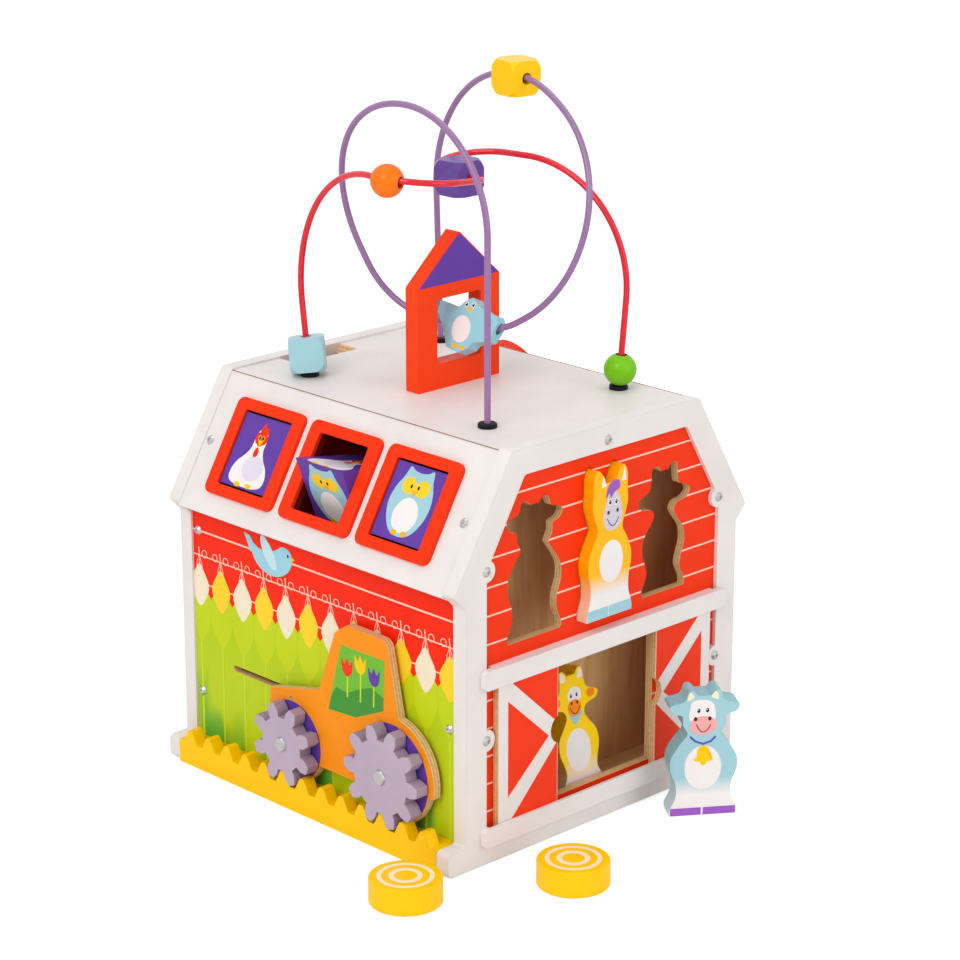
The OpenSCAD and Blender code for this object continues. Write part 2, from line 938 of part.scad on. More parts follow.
module window_frame(i) {
    color("red")
        on_slope(window_s, i*window_pitch)
            translate([0, 0, -roof_sink])
                linear_extrude(window_t)
                    difference() {
                        polygon(soft_box(window_h, window_w, 6));
                        polygon(soft_box(window_open_h, window_open_w, 1.5));
                    }
}

module picture_block(i, turn) {
    color("mediumpurple")
        on_slope(window_s, i*window_pitch)
            translate([0, block_l/2, axle_off])
                rotate([90, 0, 0])
                    difference() {
                        rotate(90 + 60 + turn)
                            cylinder(h = block_l, r = block_out_r, $fn = 3);
                        translate([0, 0, -through])
                            cylinder(h = block_l + 2*through, d = axle_d + 2*run_clear);
                    }
}

module block_axle() {
    color("tan")
        on_slope(window_s, 0)
            translate([0, axle_y1 + board_t, axle_off])
                rotate([90, 0, 0])
                    cylinder(h = axle_y1 + board_t - axle_y0, d = axle_d);
}

axle_board_h = 60;

module axle_board(y) {
    on_slope(window_s, y)
        translate([0, board_t/2, 0])
            rotate([90, 0, 0])
                difference() {
                    translate([-axle_board_h/2, -box_depth])
                        cube([axle_board_h, box_depth - roof_sink - board_t, board_t]);
                    translate([0, axle_off, -through])
                        cylinder(h = board_t + 2*through, d = axle_d);
                }
}

module axle_boards() {
    color("burlywood")
        for (y = [-stall_y - board_t - 0.5, -window_pitch/2, window_pitch/2])
            axle_board(y);
}

module window_back_board() {
    color("maroon")
        on_slope(0, 0)
            translate([-box_s1, -stall_y - 12, -box_depth - board_t])
                cube([box_s1 - box_s0, chute_y - board_t + stall_y + 12, board_t]);
}

// ---------- bale chute ----------

chute_half = side_in_x - post_w;

module ramp(z, way) {
    length = (2*chute_half - ramp_gap)/cos(ramp_slope);
    scale([way, 1, 1])
        translate([-chute_half, chute_y, z])
            rotate([0, ramp_slope, 0])
                translate([0, 0, -board_t])
                    cube([length, chute_d, board_t]);
}

module bale_ramps() {
    color("burlywood")
        intersection() {
            union() {
                ramp(ramp_1_z, 1);
                ramp(ramp_2_z, -1);
            }
            translate([-chute_half, chute_y, 0])
                cube([2*chute_half, chute_d, ridge_z]);
        }
}

// ---------- tractor and rack ----------

function involute_of(a) = tan(a) - a*PI/180;

// Half the angle that a tooth covers at radius rho
function tooth_half(r, rho) =
    let (base = r*cos(flank), a = rho > base ? acos(base/rho) : 0)
    (tooth_w/(2*r) + involute_of(flank) - involute_of(a))*180/PI;

tip_round = 1.8;
flank_steps = 4;

function gear_outline(teeth) =
    let (
        r = teeth*pitch/(2*PI),
        base = r*cos(flank),
        tip = r + gear_add,
        root = r - rack_add - tip_clear,
        last = tip - tip_round,
        up = concat([root], [for (k = [0 : flank_steps]) base + (last - base)*k/flank_steps]),
        nose = [for (k = [1 : 4]) [
            last + tip_round*sin(90*k/4),
            tooth_half(r, last) - (1 - cos(90*k/4))*tip_round*180/(PI*tip)
        ]],
        edge = concat([for (rho = up) [rho, tooth_half(r, rho)]], nose)
    )
    [for (i = [0 : teeth - 1]) each concat(
        [for (k = [0 : len(edge) - 1])
            edge[k][0]*[cos(360*i/teeth - edge[k][1]), sin(360*i/teeth - edge[k][1])]],
        [for (k = [len(edge) - 1 : -1 : 0])
            edge[k][0]*[cos(360*i/teeth + edge[k][1]), sin(360*i/teeth + edge[k][1])]]
    )];

rack_tip_z = pitch_z + rack_add;
rack_tip_half = tooth_w/2 - rack_add*tan(flank);
rack_foot_half = tooth_w/2 + (pitch_z - rack_base_h)*tan(flank);

function rack_outline() =
    let (first = -(rack_teeth - 1)/2)
    concat(
        [[rack_end_y, 0], [rack_end_y, rack_base_h]],
        [for (i = [rack_teeth - 1 : -1 : 0])
            let (y = (first + i)*pitch)
            each concat(
                [[y + rack_foot_half, rack_base_h]],
                corner([y + rack_foot_half, rack_base_h], [y + rack_tip_half, rack_tip_z],
                    [y - rack_tip_half, rack_tip_z], 1.8, 4),
                corner([y + rack_tip_half, rack_tip_z], [y - rack_tip_half, rack_tip_z],
                    [y - rack_foot_half, rack_base_h], 1.8, 4),
                [[y - rack_foot_half, rack_base_h]]
            )],
        [[-rack_end_y, rack_base_h], [-rack_end_y, 0]]
    );

module gear_rack() {
    color("gold") {
        union() {
            on_side(rack_x, rack_tooth_t)
                polygon(rack_outline());
            translate([-rack_x, -rack_end_y, 0])
                cube([rack_x - side_x, 2*rack_end_y, rack_base_h]);
        }
    }
}

module gear(teeth, y, z) {
    r = teeth*pitch/(2*PI);
    translate([-gear_x, y, z])
        rotate([90, 0, 90])
            difference() {
                linear_extrude(gear_t)
                    rotate(-90 - rolled/r*180/PI)
                        polygon(gear_outline(teeth));
                translate([0, 0, -through])
                    cylinder(h = gear_t + 2*through, d = gear_pin_d + 2*run_clear);
            }
}

module front_gear() {
    color("thistle")
        gear(front_teeth, front_gear_y, front_gear_z);
}

module rear_gear() {
    color("thistle")
        gear(rear_teeth, rear_gear_y, rear_gear_z);
}

// Outline of the tractor from its nose over the cab to the fender, in (Y, Z)
hood_low = 80;
hood_high = 91.7;
cab_top_z = 146;
nose_y = 22.5;
hood_y = -28;
belly_z = 36;

function tractor_outline() = rounded(
    [
        [front_gear_y + nose_y, belly_z + 20],
        [front_gear_y + nose_y, hood_low],
        [front_gear_y + hood_y, hood_high],
        [front_gear_y + hood_y - 17, hood_high + 46],
        [front_gear_y + hood_y - 29, cab_top_z],
        [rear_gear_y + 4, cab_top_z - 1],
        [rear_gear_y - 7.5, rear_gear_z + 38],
        [rear_gear_y - 7.5, belly_z],
        [front_gear_y, belly_z]
    ],
    [1, 1.5, 3, 5, 7, 7, 0, 0, 0]);

module tractor_plate() {
    difference() {
        union() {
            polygon(tractor_outline());
            translate([front_gear_y, front_gear_z])
                circle(front_disc_r);
            translate([rear_gear_y, rear_gear_z])
                circle(rear_disc_r);
            difference() {
                translate([rear_gear_y, rear_gear_z])
                    circle(fender_r);
                translate([rear_gear_y - 2*fender_r, 0])
                    square([4*fender_r, rear_gear_z - 7]);
                translate([rear_gear_y, 0])
                    square([2*fender_r, ridge_z]);
            }
        }
        translate([-house_d, 0])
            square([2*house_d, rack_base_h + strip_clear]);
    }
}

module tractor_body() {
    color("orange")
        difference() {
            on_side(tractor_x, tractor_t)
                tractor_plate();
            gear_spots(-tractor_x - through)
                cylinder(h = tractor_t + 2*through, d = gear_pin_d);
            guide_spots(-tractor_x - through)
                cylinder(h = tractor_t + 2*through, d = guide_d);
        }
}

module gear_spots(x) {
    translate([x, front_gear_y, front_gear_z])
        rotate([0, 90, 0])
            children();
    translate([x, rear_gear_y, rear_gear_z])
        rotate([0, 90, 0])
            children();
}

module guide_spots(x) {
    for (y = [front_guide_y, rear_guide_y])
        translate([x, y, slot_z])
            rotate([0, 90, 0])
                children();
}

cap_gap = 0.15;

module gear_pins() {
    color("silver")
        gear_spots(-gear_x - cap_gap - cap_h) {
            cylinder(h = cap_h, d1 = cap_d - 1.2, d2 = cap_d);
            cylinder(h = cap_h + cap_gap + gear_t + gear_gap + tractor_t, d = gear_pin_d);
        }
}

keeper_x = side_in_x - keeper_gap;

module guide_pins() {
    color("silver")
        guide_spots(-tractor_x + 1)
            cylinder(h = tractor_x - 1 - keeper_x + keeper_t, d = guide_d);
}

module keeper_bar() {
    color("burlywood")
        difference() {
            translate([-keeper_x, rear_guide_y - 8, slot_z - 7])
                cube([keeper_t, front_guide_y - rear_guide_y + 16, 14]);
            guide_spots(-keeper_x - through)
                cylinder(h = keeper_t + 2*through, d = guide_d);
        }
}

// ---------- cupola ----------

dowel_d = 6;
dowel_l = 16;

module cupola_dowel_spots() {
    for (side = [-1, 1])
        translate([side*(cupola_w/2 - 9), cupola_y + cupola_t/2, roof_top_z])
            children();
}

module cupola() {
    half = cupola_w/2;
    color("red")
        difference() {
            translate([0, 0, roof_top_z])
                upright(cupola_y + cupola_t)
                    linear_extrude(cupola_t)
                        difference() {
                            polygon(rounded(
                                [[-half, 0], [half, 0], [half, cupola_wall_h], [0, cupola_h], [-half, cupola_wall_h]],
                                [1, 1, 2, 2, 2]));
                            translate([0, cupola_sill + cupola_open_h/2])
                                polygon(soft_box(2*cupola_open_half, cupola_open_h, cupola_open_round));
                        }
            cupola_dowel_spots()
                translate([0, 0, -through])
                    cylinder(h = dowel_l - board_t - 2 + through, d = dowel_d);
        }
}

module cupola_dowels() {
    color("burlywood")
        cupola_dowel_spots()
            translate([0, 0, -board_t - 2])
                cylinder(h = dowel_l, d = dowel_d);
}

// ---------- bead maze ----------

function turn_z(a) = [[cos(a), -sin(a), 0, 0], [sin(a), cos(a), 0, 0], [0, 0, 1, 0], [0, 0, 0, 1]];
function turn_y(a) = [[cos(a), 0, sin(a), 0], [0, 1, 0, 0], [-sin(a), 0, cos(a), 0], [0, 0, 0, 1]];
function move(v) = [[1, 0, 0, v.x], [0, 1, 0, v.y], [0, 0, 1, v.z], [0, 0, 0, 1]];

// The frame at the start of a wire, and after each of its bends
function foot_frame(at, bearing, lean) =
    move([at.x, at.y, roof_top_z])*turn_z(bearing)*turn_y(-lean);
function bend_frame(m, b) =
    m*move([0, 0, b[0]])*turn_z(b[1])*move([b[3], 0, 0])*turn_y(b[2])*move([-b[3], 0, 0]);
function walk(m, bends, n, i = 0) = i == n ? m : walk(bend_frame(m, bends[i]), bends, n, i + 1);
function place_of(m) = [m[0][3], m[1][3], m[2][3]];
function way_of(m) = [m[0][2], m[1][2], m[2][2]];

purple_front = foot_frame(purple_front_foot, purple_front_bearing, purple_front_lean);
purple_back = foot_frame(purple_back_foot, purple_back_bearing, purple_back_lean);
red_back = foot_frame(red_back_foot, red_back_bearing, red_back_lean);
red_front = foot_frame(red_front_foot, red_front_bearing, red_front_lean);
purple_mid = walk(purple_front, purple_front_bends, 4);
red_mid = walk(red_back, red_back_bends, 4);

// The small bulge where two lengths of wire are welded; the lengths stop just short of it
weld_gap = 0.3;
weld_rise = 0.1;

module weld() {
    sphere(d = wire_d + 2*weld_rise, $fn = 14);
}

module wire_arc(r, a) {
    short = weld_gap*180/(PI*r);
    translate([r, 0, 0])
        rotate([90, 0, 180])
            rotate(short)
                rotate_extrude(angle = a - 2*short, $fn = 60)
                    translate([r, 0])
                        circle(d = wire_d, $fn = 14);
}

module bent_wire(bends, i = 0) {
    b = bends[i];
    if (i > 0 && b[0] > 0)
        translate([0, 0, weld_gap])
            cylinder(h = b[0] - 2*weld_gap, d = wire_d, $fn = 14);
    if (i < len(bends) - 1)
        translate([0, 0, b[0]]) {
            weld();
            rotate([0, 0, b[1]]) {
                wire_arc(b[3], b[2]);
                translate([b[3], 0, 0])
                    rotate([0, b[2], 0])
                        translate([-b[3], 0, 0]) {
                            if (bends[i + 1][0] > 0)
                                weld();
                            bent_wire(bends, i + 1);
                        }
            }
        }
}

module wire_half(start, bends) {
    multmatrix(start) {
        bent_wire(bends);
        translate([0, 0, -wire_root])
            cylinder(h = wire_root + bends[0][0] - weld_gap, d = wire_d, $fn = 14);
    }
}

module purple_wire() {
    color("mediumpurple")
        union() {
            wire_half(purple_front, purple_front_bends);
            wire_half(purple_back, purple_back_bends);
            translate(place_of(purple_mid))
                weld();
        }
}

module red_wire() {
    color("crimson")
        union() {
            wire_half(red_back, red_back_bends);
            wire_half(red_front, red_front_bends);
            translate(place_of(red_mid))
                weld();
        }
}

module wire_feet() {
    for (foot = [purple_front, purple_back, red_back, red_front])
        multmatrix(foot)
            children();
}

module wire_grommets() {
    color("black")
        difference() {
            wire_feet()
                difference() {
                    rotate_extrude()
                        polygon(rounded(
                            [[0, -1], [grommet_d/2, -1], [grommet_d/2, grommet_h], [0, grommet_h]],
                            [0, 0, 1, 0], 3));
                    translate([0, 0, -2*through])
                        cylinder(h = grommet_h + 4*through, d = wire_d);
                }
            translate([-leg_x, -gable_y, roof_top_z - grommet_d])
                cube([2*leg_x, 2*gable_y, grommet_d]);
        }
}

// A bead at distance h along the first straight of a wire
module at_foot(start, h) {
    multmatrix(start)
        translate([0, 0, h])
            children();
}

module cube_shape(bore) {
    difference() {
        intersection() {
            cube(cube_bead, center = true);
            sphere(d = cube_bead*1.5);
        }
        cylinder(h = 2*cube_bead, d = bore, center = true);
    }
}

module ball_shape(bore) {
    difference() {
        sphere(d = ball_bead);
        cylinder(h = 2*ball_bead, d = bore, center = true);
    }
}

bead_bore = wire_d + 2*bead_play;
seat_gap = 0.4;
// How far a bead's bore hangs below the wire, which leaves 0.3 above the wire
hang = bead_play - 0.3;

// How far an arc of radius r bows over a chord of length l
function bow(l, r) = l*l/(8*r);

// Upright child whose +Z follows the wire at frame m
module along(m) {
    way = way_of(m);
    translate(place_of(m))
        rotate([0, acos(way.z), atan2(way.y, way.x)])
            children();
}

module blue_cube_bead() {
    color("lightblue")
        at_foot(red_back, grommet_h + seat_gap + cube_bead/2)
            rotate(54)
                cube_shape(bead_bore);
}

module green_ball_bead() {
    color("limegreen")
        at_foot(red_front, grommet_h + seat_gap + sqrt(pow(ball_bead/2, 2) - pow(bead_bore/2, 2)))
            ball_shape(bead_bore);
}

// Angles along the arcs where the orange and the yellow bead hang
orange_angle = 24;
yellow_angle = 93.2;

module orange_ball_bead() {
    arc = red_back_bends[1];
    rise = bow(ball_bead, arc[3])/2;
    m = walk(red_back, red_back_bends, 1)*move([0, 0, arc[0]])*turn_z(arc[1])
        *move([arc[3], 0, 0])*turn_y(orange_angle)*move([rise - arc[3], 0, 0]);
    color("darkorange")
        translate([0, 0, -sqrt(hang*hang - rise*rise)])
            along(m)
                ball_shape(bead_bore);
}

module purple_cube_bead() {
    color("mediumpurple")
        translate([0, 0, -hang])
            along(red_mid)
                cube_shape(bead_bore);
}

module yellow_cube_bead() {
    arc = purple_back_bends[0];
    m = purple_back*move([arc[3], 0, arc[0]])*turn_y(yellow_angle)*move([hang - arc[3], 0, 0]);
    color("gold")
        along(m)
            cube_shape(bead_bore);
}

// Bird seen from its belly: up is +Y, its wings along X
bird_ring = [
    [1.5, 18.5], [-4, 15.5], [-8.5, 10.5], [-23.5, 14], [-24, 5.5], [-18, -4.5], [-15.5, -10],
    [-12.5, -17.5], [-3, -20.5], [4.5, -16.5], [7, -12.5], [18.5, -10], [24, 3], [20.5, 8.5],
    [13.5, 9.5], [7.5, 13]
];
bird_t = 13;
bird_lean = 22;
bird_shift = 6.5;
bird_hang = 0.3;

module bird_bead() {
    way = way_of(purple_mid);
    color("lightblue")
        translate(place_of(purple_mid) + bird_shift*way - [0, 0, bird_hang])
            rotate([90, 0, atan2(way.y, way.x)])
                rotate([-bird_lean, 0, 0])
                    difference() {
                        translate([0, 0, -bird_t/2])
                            linear_extrude(bird_t)
                                polygon(rounded(bird_ring, [for (p = bird_ring) 1.5], 2));
                        rotate([0, 90, 0])
                            cylinder(h = 60, d = bead_bore, center = true);
                    }
}

// ---------- animals and bales ----------

horse_half = [
    [21.6, 0], [21.2, 6], [18.3, 15], [18.3, 25], [20.4, 34], [20.2, 43], [16, 53], [11.6, 61],
    [14.5, 70], [16.8, 78], [16.2, 88], [16, 98], [12.5, 103.5], [8.5, 101], [4.5, 93.5]
];
goat_half = [
    [20.6, 0], [20.2, 5], [15.8, 14], [16.6, 21], [20, 31], [19, 41], [12.5, 49.5], [9, 56],
    [12.5, 61.5], [22, 63.5], [24.5, 69], [14.5, 73.5], [12.2, 80], [11.5, 88.5], [7.5, 89.5], [4, 85.5]
];
cow_half = [
    [23.8, 0], [24, 4.5], [19.8, 14], [20, 24], [23.6, 34], [23.4, 44], [17, 54.5], [12, 61.5],
    [15.2, 68], [15.8, 75], [22.5, 77.5], [24.5, 83], [14.5, 86], [11.5, 93], [7.5, 93.3], [4.5, 90]
];

// The goat leans back until its horns reach the inner board
goat_top = goat_size*(max([for (p = goat_half) p.y]) + 0.5);
goat_room = panel_back_y - stall_y - goat_step - goat_gap;
goat_lean = asin(goat_room/norm([toy_t, goat_top])) - atan2(toy_t, goat_top);

function animal_ring(half) = both_sides(smooth(half));
function horse_outline() = animal_ring(horse_half);
function goat_outline() = animal_ring(goat_half);
function cow_outline() = animal_ring(cow_half);

// An animal standing at the origin, its painted face towards -Y
module animal(ring) {
    upright(toy_t)
        linear_extrude(toy_t)
            polygon(ring);
}

module horse() {
    color("orange")
        translate([cutout_x(0), -panel_face_y - horse_out, cutout_z])
            animal(horse_outline());
}

module goat() {
    color("gold")
        translate([goat_x, -panel_back_y + goat_step, floor_z + toy_t*sin(goat_lean)])
            rotate([-goat_lean, 0, 0])
                animal(goat_size*goat_outline());
}

module cow() {
    color("lightblue")
        translate([cow_at.x, cow_at.y, 0])
            rotate([0, 0, cow_turn])
                translate([cow_size*cow_half[0].x, 0, 0])
                    animal(cow_size*cow_outline());
}

module hay_bale(at) {
    color("gold")
        translate([at.x, at.y, 0])
            rotate_extrude($fn = 96)
                polygon(rounded(
                    [[0, 0], [bale_d/2, 0], [bale_d/2, bale_t], [0, bale_t]],
                    [0, 1.2, 1.2, 0], 3));
}

// ---------- roof disc ----------

disc_gap = 3;

module roof_disc() {
    color("red")
        mirror([1, 0, 0])
            on_slope(disc_s, disc_y)
                translate([0, 0, disc_gap - roof_sink])
                    difference() {
                        cylinder(h = disc_t, r = disc_r, $fn = 96);
                        translate([0, 0, -through])
                            cylinder(h = disc_t + 2*through, d = gear_pin_d + 2*run_clear);
                    }
}

module disc_pin() {
    color("silver")
        mirror([1, 0, 0])
            on_slope(disc_s, disc_y)
                translate([0, 0, -roof_sink - board_t]) {
                    cylinder(h = board_t + disc_gap + disc_t + cap_gap, d = gear_pin_d);
                    translate([0, 0, board_t])
                        cylinder(h = disc_gap - cap_gap, d = cap_d);
                    translate([0, 0, board_t + disc_gap + disc_t + cap_gap])
                        cylinder(h = cap_h, d1 = cap_d, d2 = cap_d - 1.2);
                }
}

// ---------- screws ----------

hex_key = 2.6;

// Button-head screw: the head's underside at z = 0, the shank below it
module screw() {
    difference() {
        union() {
            cylinder(h = head_h, d1 = head_d, d2 = head_d*0.62);
            translate([0, 0, -shank_l])
                cylinder(h = shank_l, d = shank_d);
        }
        translate([0, 0, head_h*0.4])
            cylinder(h = head_h, d = hex_key, $fn = 6);
    }
}

module gable_screws() {
    color("silver")
        for (turn = [0, 180])
            rotate([0, 0, turn])
                upright(-gable_y) {
                    screw_spots()
                        screw();
                    translate([turn == 0 ? 0 : -back_top_screw_x, top_screw_z])
                        screw();
                }
}

module side_screws() {
    color("silver")
        for (flip = [0, 1])
            mirror([flip, 0, 0])
                side_screw_spots()
                    rotate([0, -90, 0])
                        screw();
}

module roof_screws() {
    color("silver")
        for (flip = [0, 1])
            mirror([flip, 0, 0])
                roof_screw_spots()
                    translate([0, 0, -roof_sink])
                        screw();
}

front_gable_frame();
back_gable_frame();
front_panel();
back_panel();
left_side_panel();
right_side_panel();
left_roof_panel();
right_roof_panel();
top_roof_panel();
floor_board();
stall_board();
chute_board();
corner_posts();
roof_cleats();
lower_door_rail();
upper_door_rail();
left_door();
right_door();
window_frame(1);  // window_frame_1
window_frame(0);  // window_frame_2
window_frame(-1);  // window_frame_3
picture_block(1, 0);  // picture_block_1
picture_block(0, middle_block_turn);  // picture_block_2
picture_block(-1, 0);  // picture_block_3
block_axle();
axle_boards();
window_back_board();
bale_ramps();
gear_rack();
tractor_body();
front_gear();
rear_gear();
gear_pins();
guide_pins();
keeper_bar();
cupola();
cupola_dowels();
purple_wire();
red_wire();
wire_grommets();
blue_cube_bead();
yellow_cube_bead();
purple_cube_bead();
orange_ball_bead();
green_ball_bead();
bird_bead();
horse();
goat();
cow();
hay_bale(bale_1_at);  // hay_bale_1
hay_bale(bale_2_at);  // hay_bale_2
roof_disc();
disc_pin();
gable_screws();
side_screws();
roof_screws();
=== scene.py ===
"""Wooden toy barn: looks, printed pictures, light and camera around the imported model."""
import math

import bmesh
import bpy
from mathutils import Euler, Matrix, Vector


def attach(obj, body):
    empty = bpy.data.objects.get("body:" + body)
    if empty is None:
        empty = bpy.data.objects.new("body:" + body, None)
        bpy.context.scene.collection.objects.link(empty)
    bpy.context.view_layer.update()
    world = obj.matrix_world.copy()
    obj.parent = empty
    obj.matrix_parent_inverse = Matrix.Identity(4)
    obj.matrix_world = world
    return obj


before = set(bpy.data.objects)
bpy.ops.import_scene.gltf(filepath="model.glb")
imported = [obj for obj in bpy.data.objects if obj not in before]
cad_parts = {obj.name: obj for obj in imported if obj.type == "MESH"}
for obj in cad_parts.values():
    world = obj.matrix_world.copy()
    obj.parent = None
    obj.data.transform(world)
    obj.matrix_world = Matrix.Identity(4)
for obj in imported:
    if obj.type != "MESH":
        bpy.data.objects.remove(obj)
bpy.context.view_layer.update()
MM = 0.001

# Faces and thicknesses of the model that the prints and looks follow, in mm
BOARD_T = 6.0
FRAME_FACE_Y, FRAME_T = -144.0, 11.5
BACK_FRAME_Y = 132.5
RAIL_FACE_Y, RAIL_T = -148.9, 7.9
PANEL_FACE_Y = -141.0
BACK_PANEL_Y = 135.0
SIDE_FACE_X = 128.3
RIGHT_SIDE_IN_X = 122.3
ROOF_TOP_Z = 277.6
DOOR_FACE_Y, DOOR_T = -146.3, 5.0
TRACTOR_FACE_X = -137.4
GEAR_FACE_X, GEAR_T = -148.1, 9.6
COURSE, FIRST_COURSE_Z, COURSE_HALF = 19.42, 249.3, 0.62
LEAF_PITCH, FIRST_LEAF_Y = 23.08, 126.3
PRINT_END_Y = 132.4

# A print's height over its face, its rise per layer and per loop, and its root in the face
PRINT_T, LAYER_T, LOOP_T, PRINT_ROOT = 0.04, 0.05, 0.008, 0.08

# ---------- colours, as seen ----------


def seen(r, g, b):
    """A display colour from 0-255 values as a linear RGBA tuple."""
    out = []
    for value in (r, g, b):
        c = value / 255.0
        out.append(c / 12.92 if c <= 0.04045 else ((c + 0.055) / 1.055) ** 2.4)
    return (*out, 1.0)


RED = seen(242, 52, 4)
WALL_RED = seen(246, 38, 0)
WHITE = seen(231, 224, 221)
INK_WHITE = seen(237, 232, 230)
YELLOW = seen(254, 200, 0)
PURPLE = seen(98, 62, 160)
MAUVE = seen(148, 108, 156)
WIRE_RED = seen(220, 24, 44)
BLUE = seen(158, 202, 212)
BIRD_BLUE = seen(156, 206, 222)
ORANGE_BALL = seen(245, 116, 4)
LIME = seen(118, 192, 14)
LILAC = seen(190, 173, 192)
TRACTOR = seen(248, 140, 10)
HORSE = seen(252, 186, 0)
HORSE_SIDE = seen(240, 150, 4)
GOAT = seen(255, 212, 8)
GOAT_SIDE = seen(222, 168, 8)
CREAM = seen(246, 230, 196)
WOOD_LIGHT = seen(234, 194, 140)
WOOD_DARK = seen(212, 166, 108)
DARK_LINE = seen(96, 34, 36)
LINE_ON_RED = seen(252, 200, 180)
BLACK = seen(20, 18, 20)
MAROON = seen(122, 28, 20)
GOLDEN = seen(246, 176, 20)
BEAK = seen(250, 190, 20)
EYE_RING = seen(250, 150, 40)
MUZZLE_ORANGE = seen(246, 140, 20)
LIGHT_PURPLE = seen(156, 92, 190)
STEM = seen(200, 216, 40)
BLUE_SIDE = seen(120, 184, 200)

# ---------- materials ----------


class Shader:
    """The node tree of one material, with short calls for the nodes it needs."""

    def __init__(self, name):
        self.mat = bpy.data.materials.new(name)
        self.mat.use_nodes = True
        self.tree = self.mat.node_tree
        self.tree.nodes.clear()
        self.out = self.add("ShaderNodeOutputMaterial")
        self.bsdf = self.add("ShaderNodeBsdfPrincipled")
        self.join(self.bsdf.outputs["BSDF"], self.out.inputs["Surface"])
        coord = self.add("ShaderNodeTexCoord")
        self.place = coord.outputs["Object"]
        self.normal = coord.outputs["Normal"]
        split = self.add("ShaderNodeSeparateXYZ")
        self.join(self.place, split.inputs[0])
        self.mm = [self.math("MULTIPLY", split.outputs[i], 1000.0) for i in range(3)]

    def add(self, kind):
        return self.tree.nodes.new(kind)

    def join(self, a, b):
        self.tree.links.new(a, b)

    def feed(self, value, socket):
        if isinstance(value, bpy.types.NodeSocket):
            self.join(value, socket)
        else:
            socket.default_value = value

    def math(self, operation, *values):
        node = self.add("ShaderNodeMath")
        node.operation = operation
        for value, socket in zip(values, node.inputs):
            self.feed(value, socket)
        return node.outputs[0]

    def along(self, vector, axis):
        node = self.add("ShaderNodeVectorMath")
        node.operation = "DOT_PRODUCT"
        self.feed(vector, node.inputs[0])
        node.inputs[1].default_value = axis
        return node.outputs["Value"]

    def noise(self, scale, detail=2.0, stretch=None):
        node = self.add("ShaderNodeTexNoise")
        node.inputs["Scale"].default_value = scale
        node.inputs["Detail"].default_value = detail
        vector = self.place
        if stretch:
            pull = self.add("ShaderNodeVectorMath")
            pull.operation = "MULTIPLY"
            self.join(self.place, pull.inputs[0])
            pull.inputs[1].default_value = stretch
            vector = pull.outputs[0]
        self.join(vector, node.inputs["Vector"])
        return node.outputs["Fac"]

    def remap(self, value, a, b, c, d):
        node = self.add("ShaderNodeMapRange")
        for item, socket in zip((value, a, b, c, d), node.inputs):
            self.feed(item, socket)
        return node.outputs[0]

    def mix(self, factor, a, b):
        node = self.add("ShaderNodeMix")
        node.data_type = "RGBA"
        self.feed(factor, node.inputs[0])
        self.feed(a, node.inputs[6])
        self.feed(b, node.inputs[7])
        return node.outputs[2]

    def near(self, value, period, start, half):
        """1 within half of start + n * period, else 0."""
        turns = self.math("DIVIDE", self.math("SUBTRACT", value, start), period)
        part = self.math("FRACT", self.math("ADD", turns, 0.5))
        away = self.math("MULTIPLY", self.math("ABSOLUTE", self.math("SUBTRACT", part, 0.5)),
                         period)
        return self.remap(away, half - 0.12, half + 0.12, 1.0, 0.0)

    def finish(self, colour, rough=0.42, spread=0.07, coat=0.0, bump=0.04, grain=500.0,
               bevel=0.0005, metal=0.0, vary=0.04, stretch=None):
        tone = self.add("ShaderNodeHueSaturation")
        self.feed(colour, tone.inputs["Color"])
        blotch = self.noise(26.0, 4.0)
        self.join(self.remap(blotch, 0.3, 0.7, 1.0 - vary, 1.0 + vary * 0.6), tone.inputs["Value"])
        self.join(tone.outputs[0], self.bsdf.inputs["Base Color"])
        fine = self.noise(260.0, 3.0)
        self.join(self.remap(fine, 0.3, 0.7, rough - spread, rough + spread),
                  self.bsdf.inputs["Roughness"])
        self.bsdf.inputs["Specular IOR Level"].default_value = 0.5 if metal else 0.12
        self.bsdf.inputs["Coat Weight"].default_value = coat
        self.bsdf.inputs["Coat Roughness"].default_value = 0.12
        self.bsdf.inputs["Metallic"].default_value = metal
        lump = self.add("ShaderNodeBump")
        lump.inputs["Strength"].default_value = bump
        lump.inputs["Distance"].default_value = 0.0002
        self.join(self.noise(grain, 3.0, stretch), lump.inputs["Height"])
        if bevel:
            soft = self.add("ShaderNodeBevel")
            soft.samples = 4
            soft.inputs["Radius"].default_value = bevel
            self.join(soft.outputs[0], lump.inputs["Normal"])
        self.join(lump.outputs[0], self.bsdf.inputs["Normal"])
        return self.mat


def wood(sh, stretch):
    """Bare veneer: long streaks across the stretched directions, and fine pores."""
    streak = sh.noise(9.0, 5.0, stretch)
    base = sh.mix(sh.remap(streak, 0.3, 0.7, 0.0, 1.0), WOOD_LIGHT, WOOD_DARK)
    pore = sh.noise(60.0, 2.0, stretch)
    return sh.mix(sh.remap(pore, 0.55, 0.75, 0.0, 0.35), base, seen(170, 126, 82))


def plies(sh, axis, start, thick):
    """The five plies on a board's cut edge, counted along its thickness."""
    depth = sh.math("MULTIPLY", sh.along(sh.place, axis), 1000.0)
    share = sh.math("DIVIDE", sh.math("SUBTRACT", depth, start), thick)
    part = sh.math("FRACT", sh.math("MULTIPLY", share, 2.5))
    band = sh.remap(part, 0.46, 0.54, 0.0, 1.0)
    speck = sh.noise(420.0, 2.0)
    light = sh.mix(sh.remap(speck, 0.35, 0.65, 0.0, 1.0), seen(232, 198, 150), seen(222, 186, 136))
    dark = sh.mix(sh.remap(speck, 0.35, 0.65, 0.0, 1.0), seen(214, 174, 122), seen(200, 158, 106))
    return sh.mix(band, light, dark)


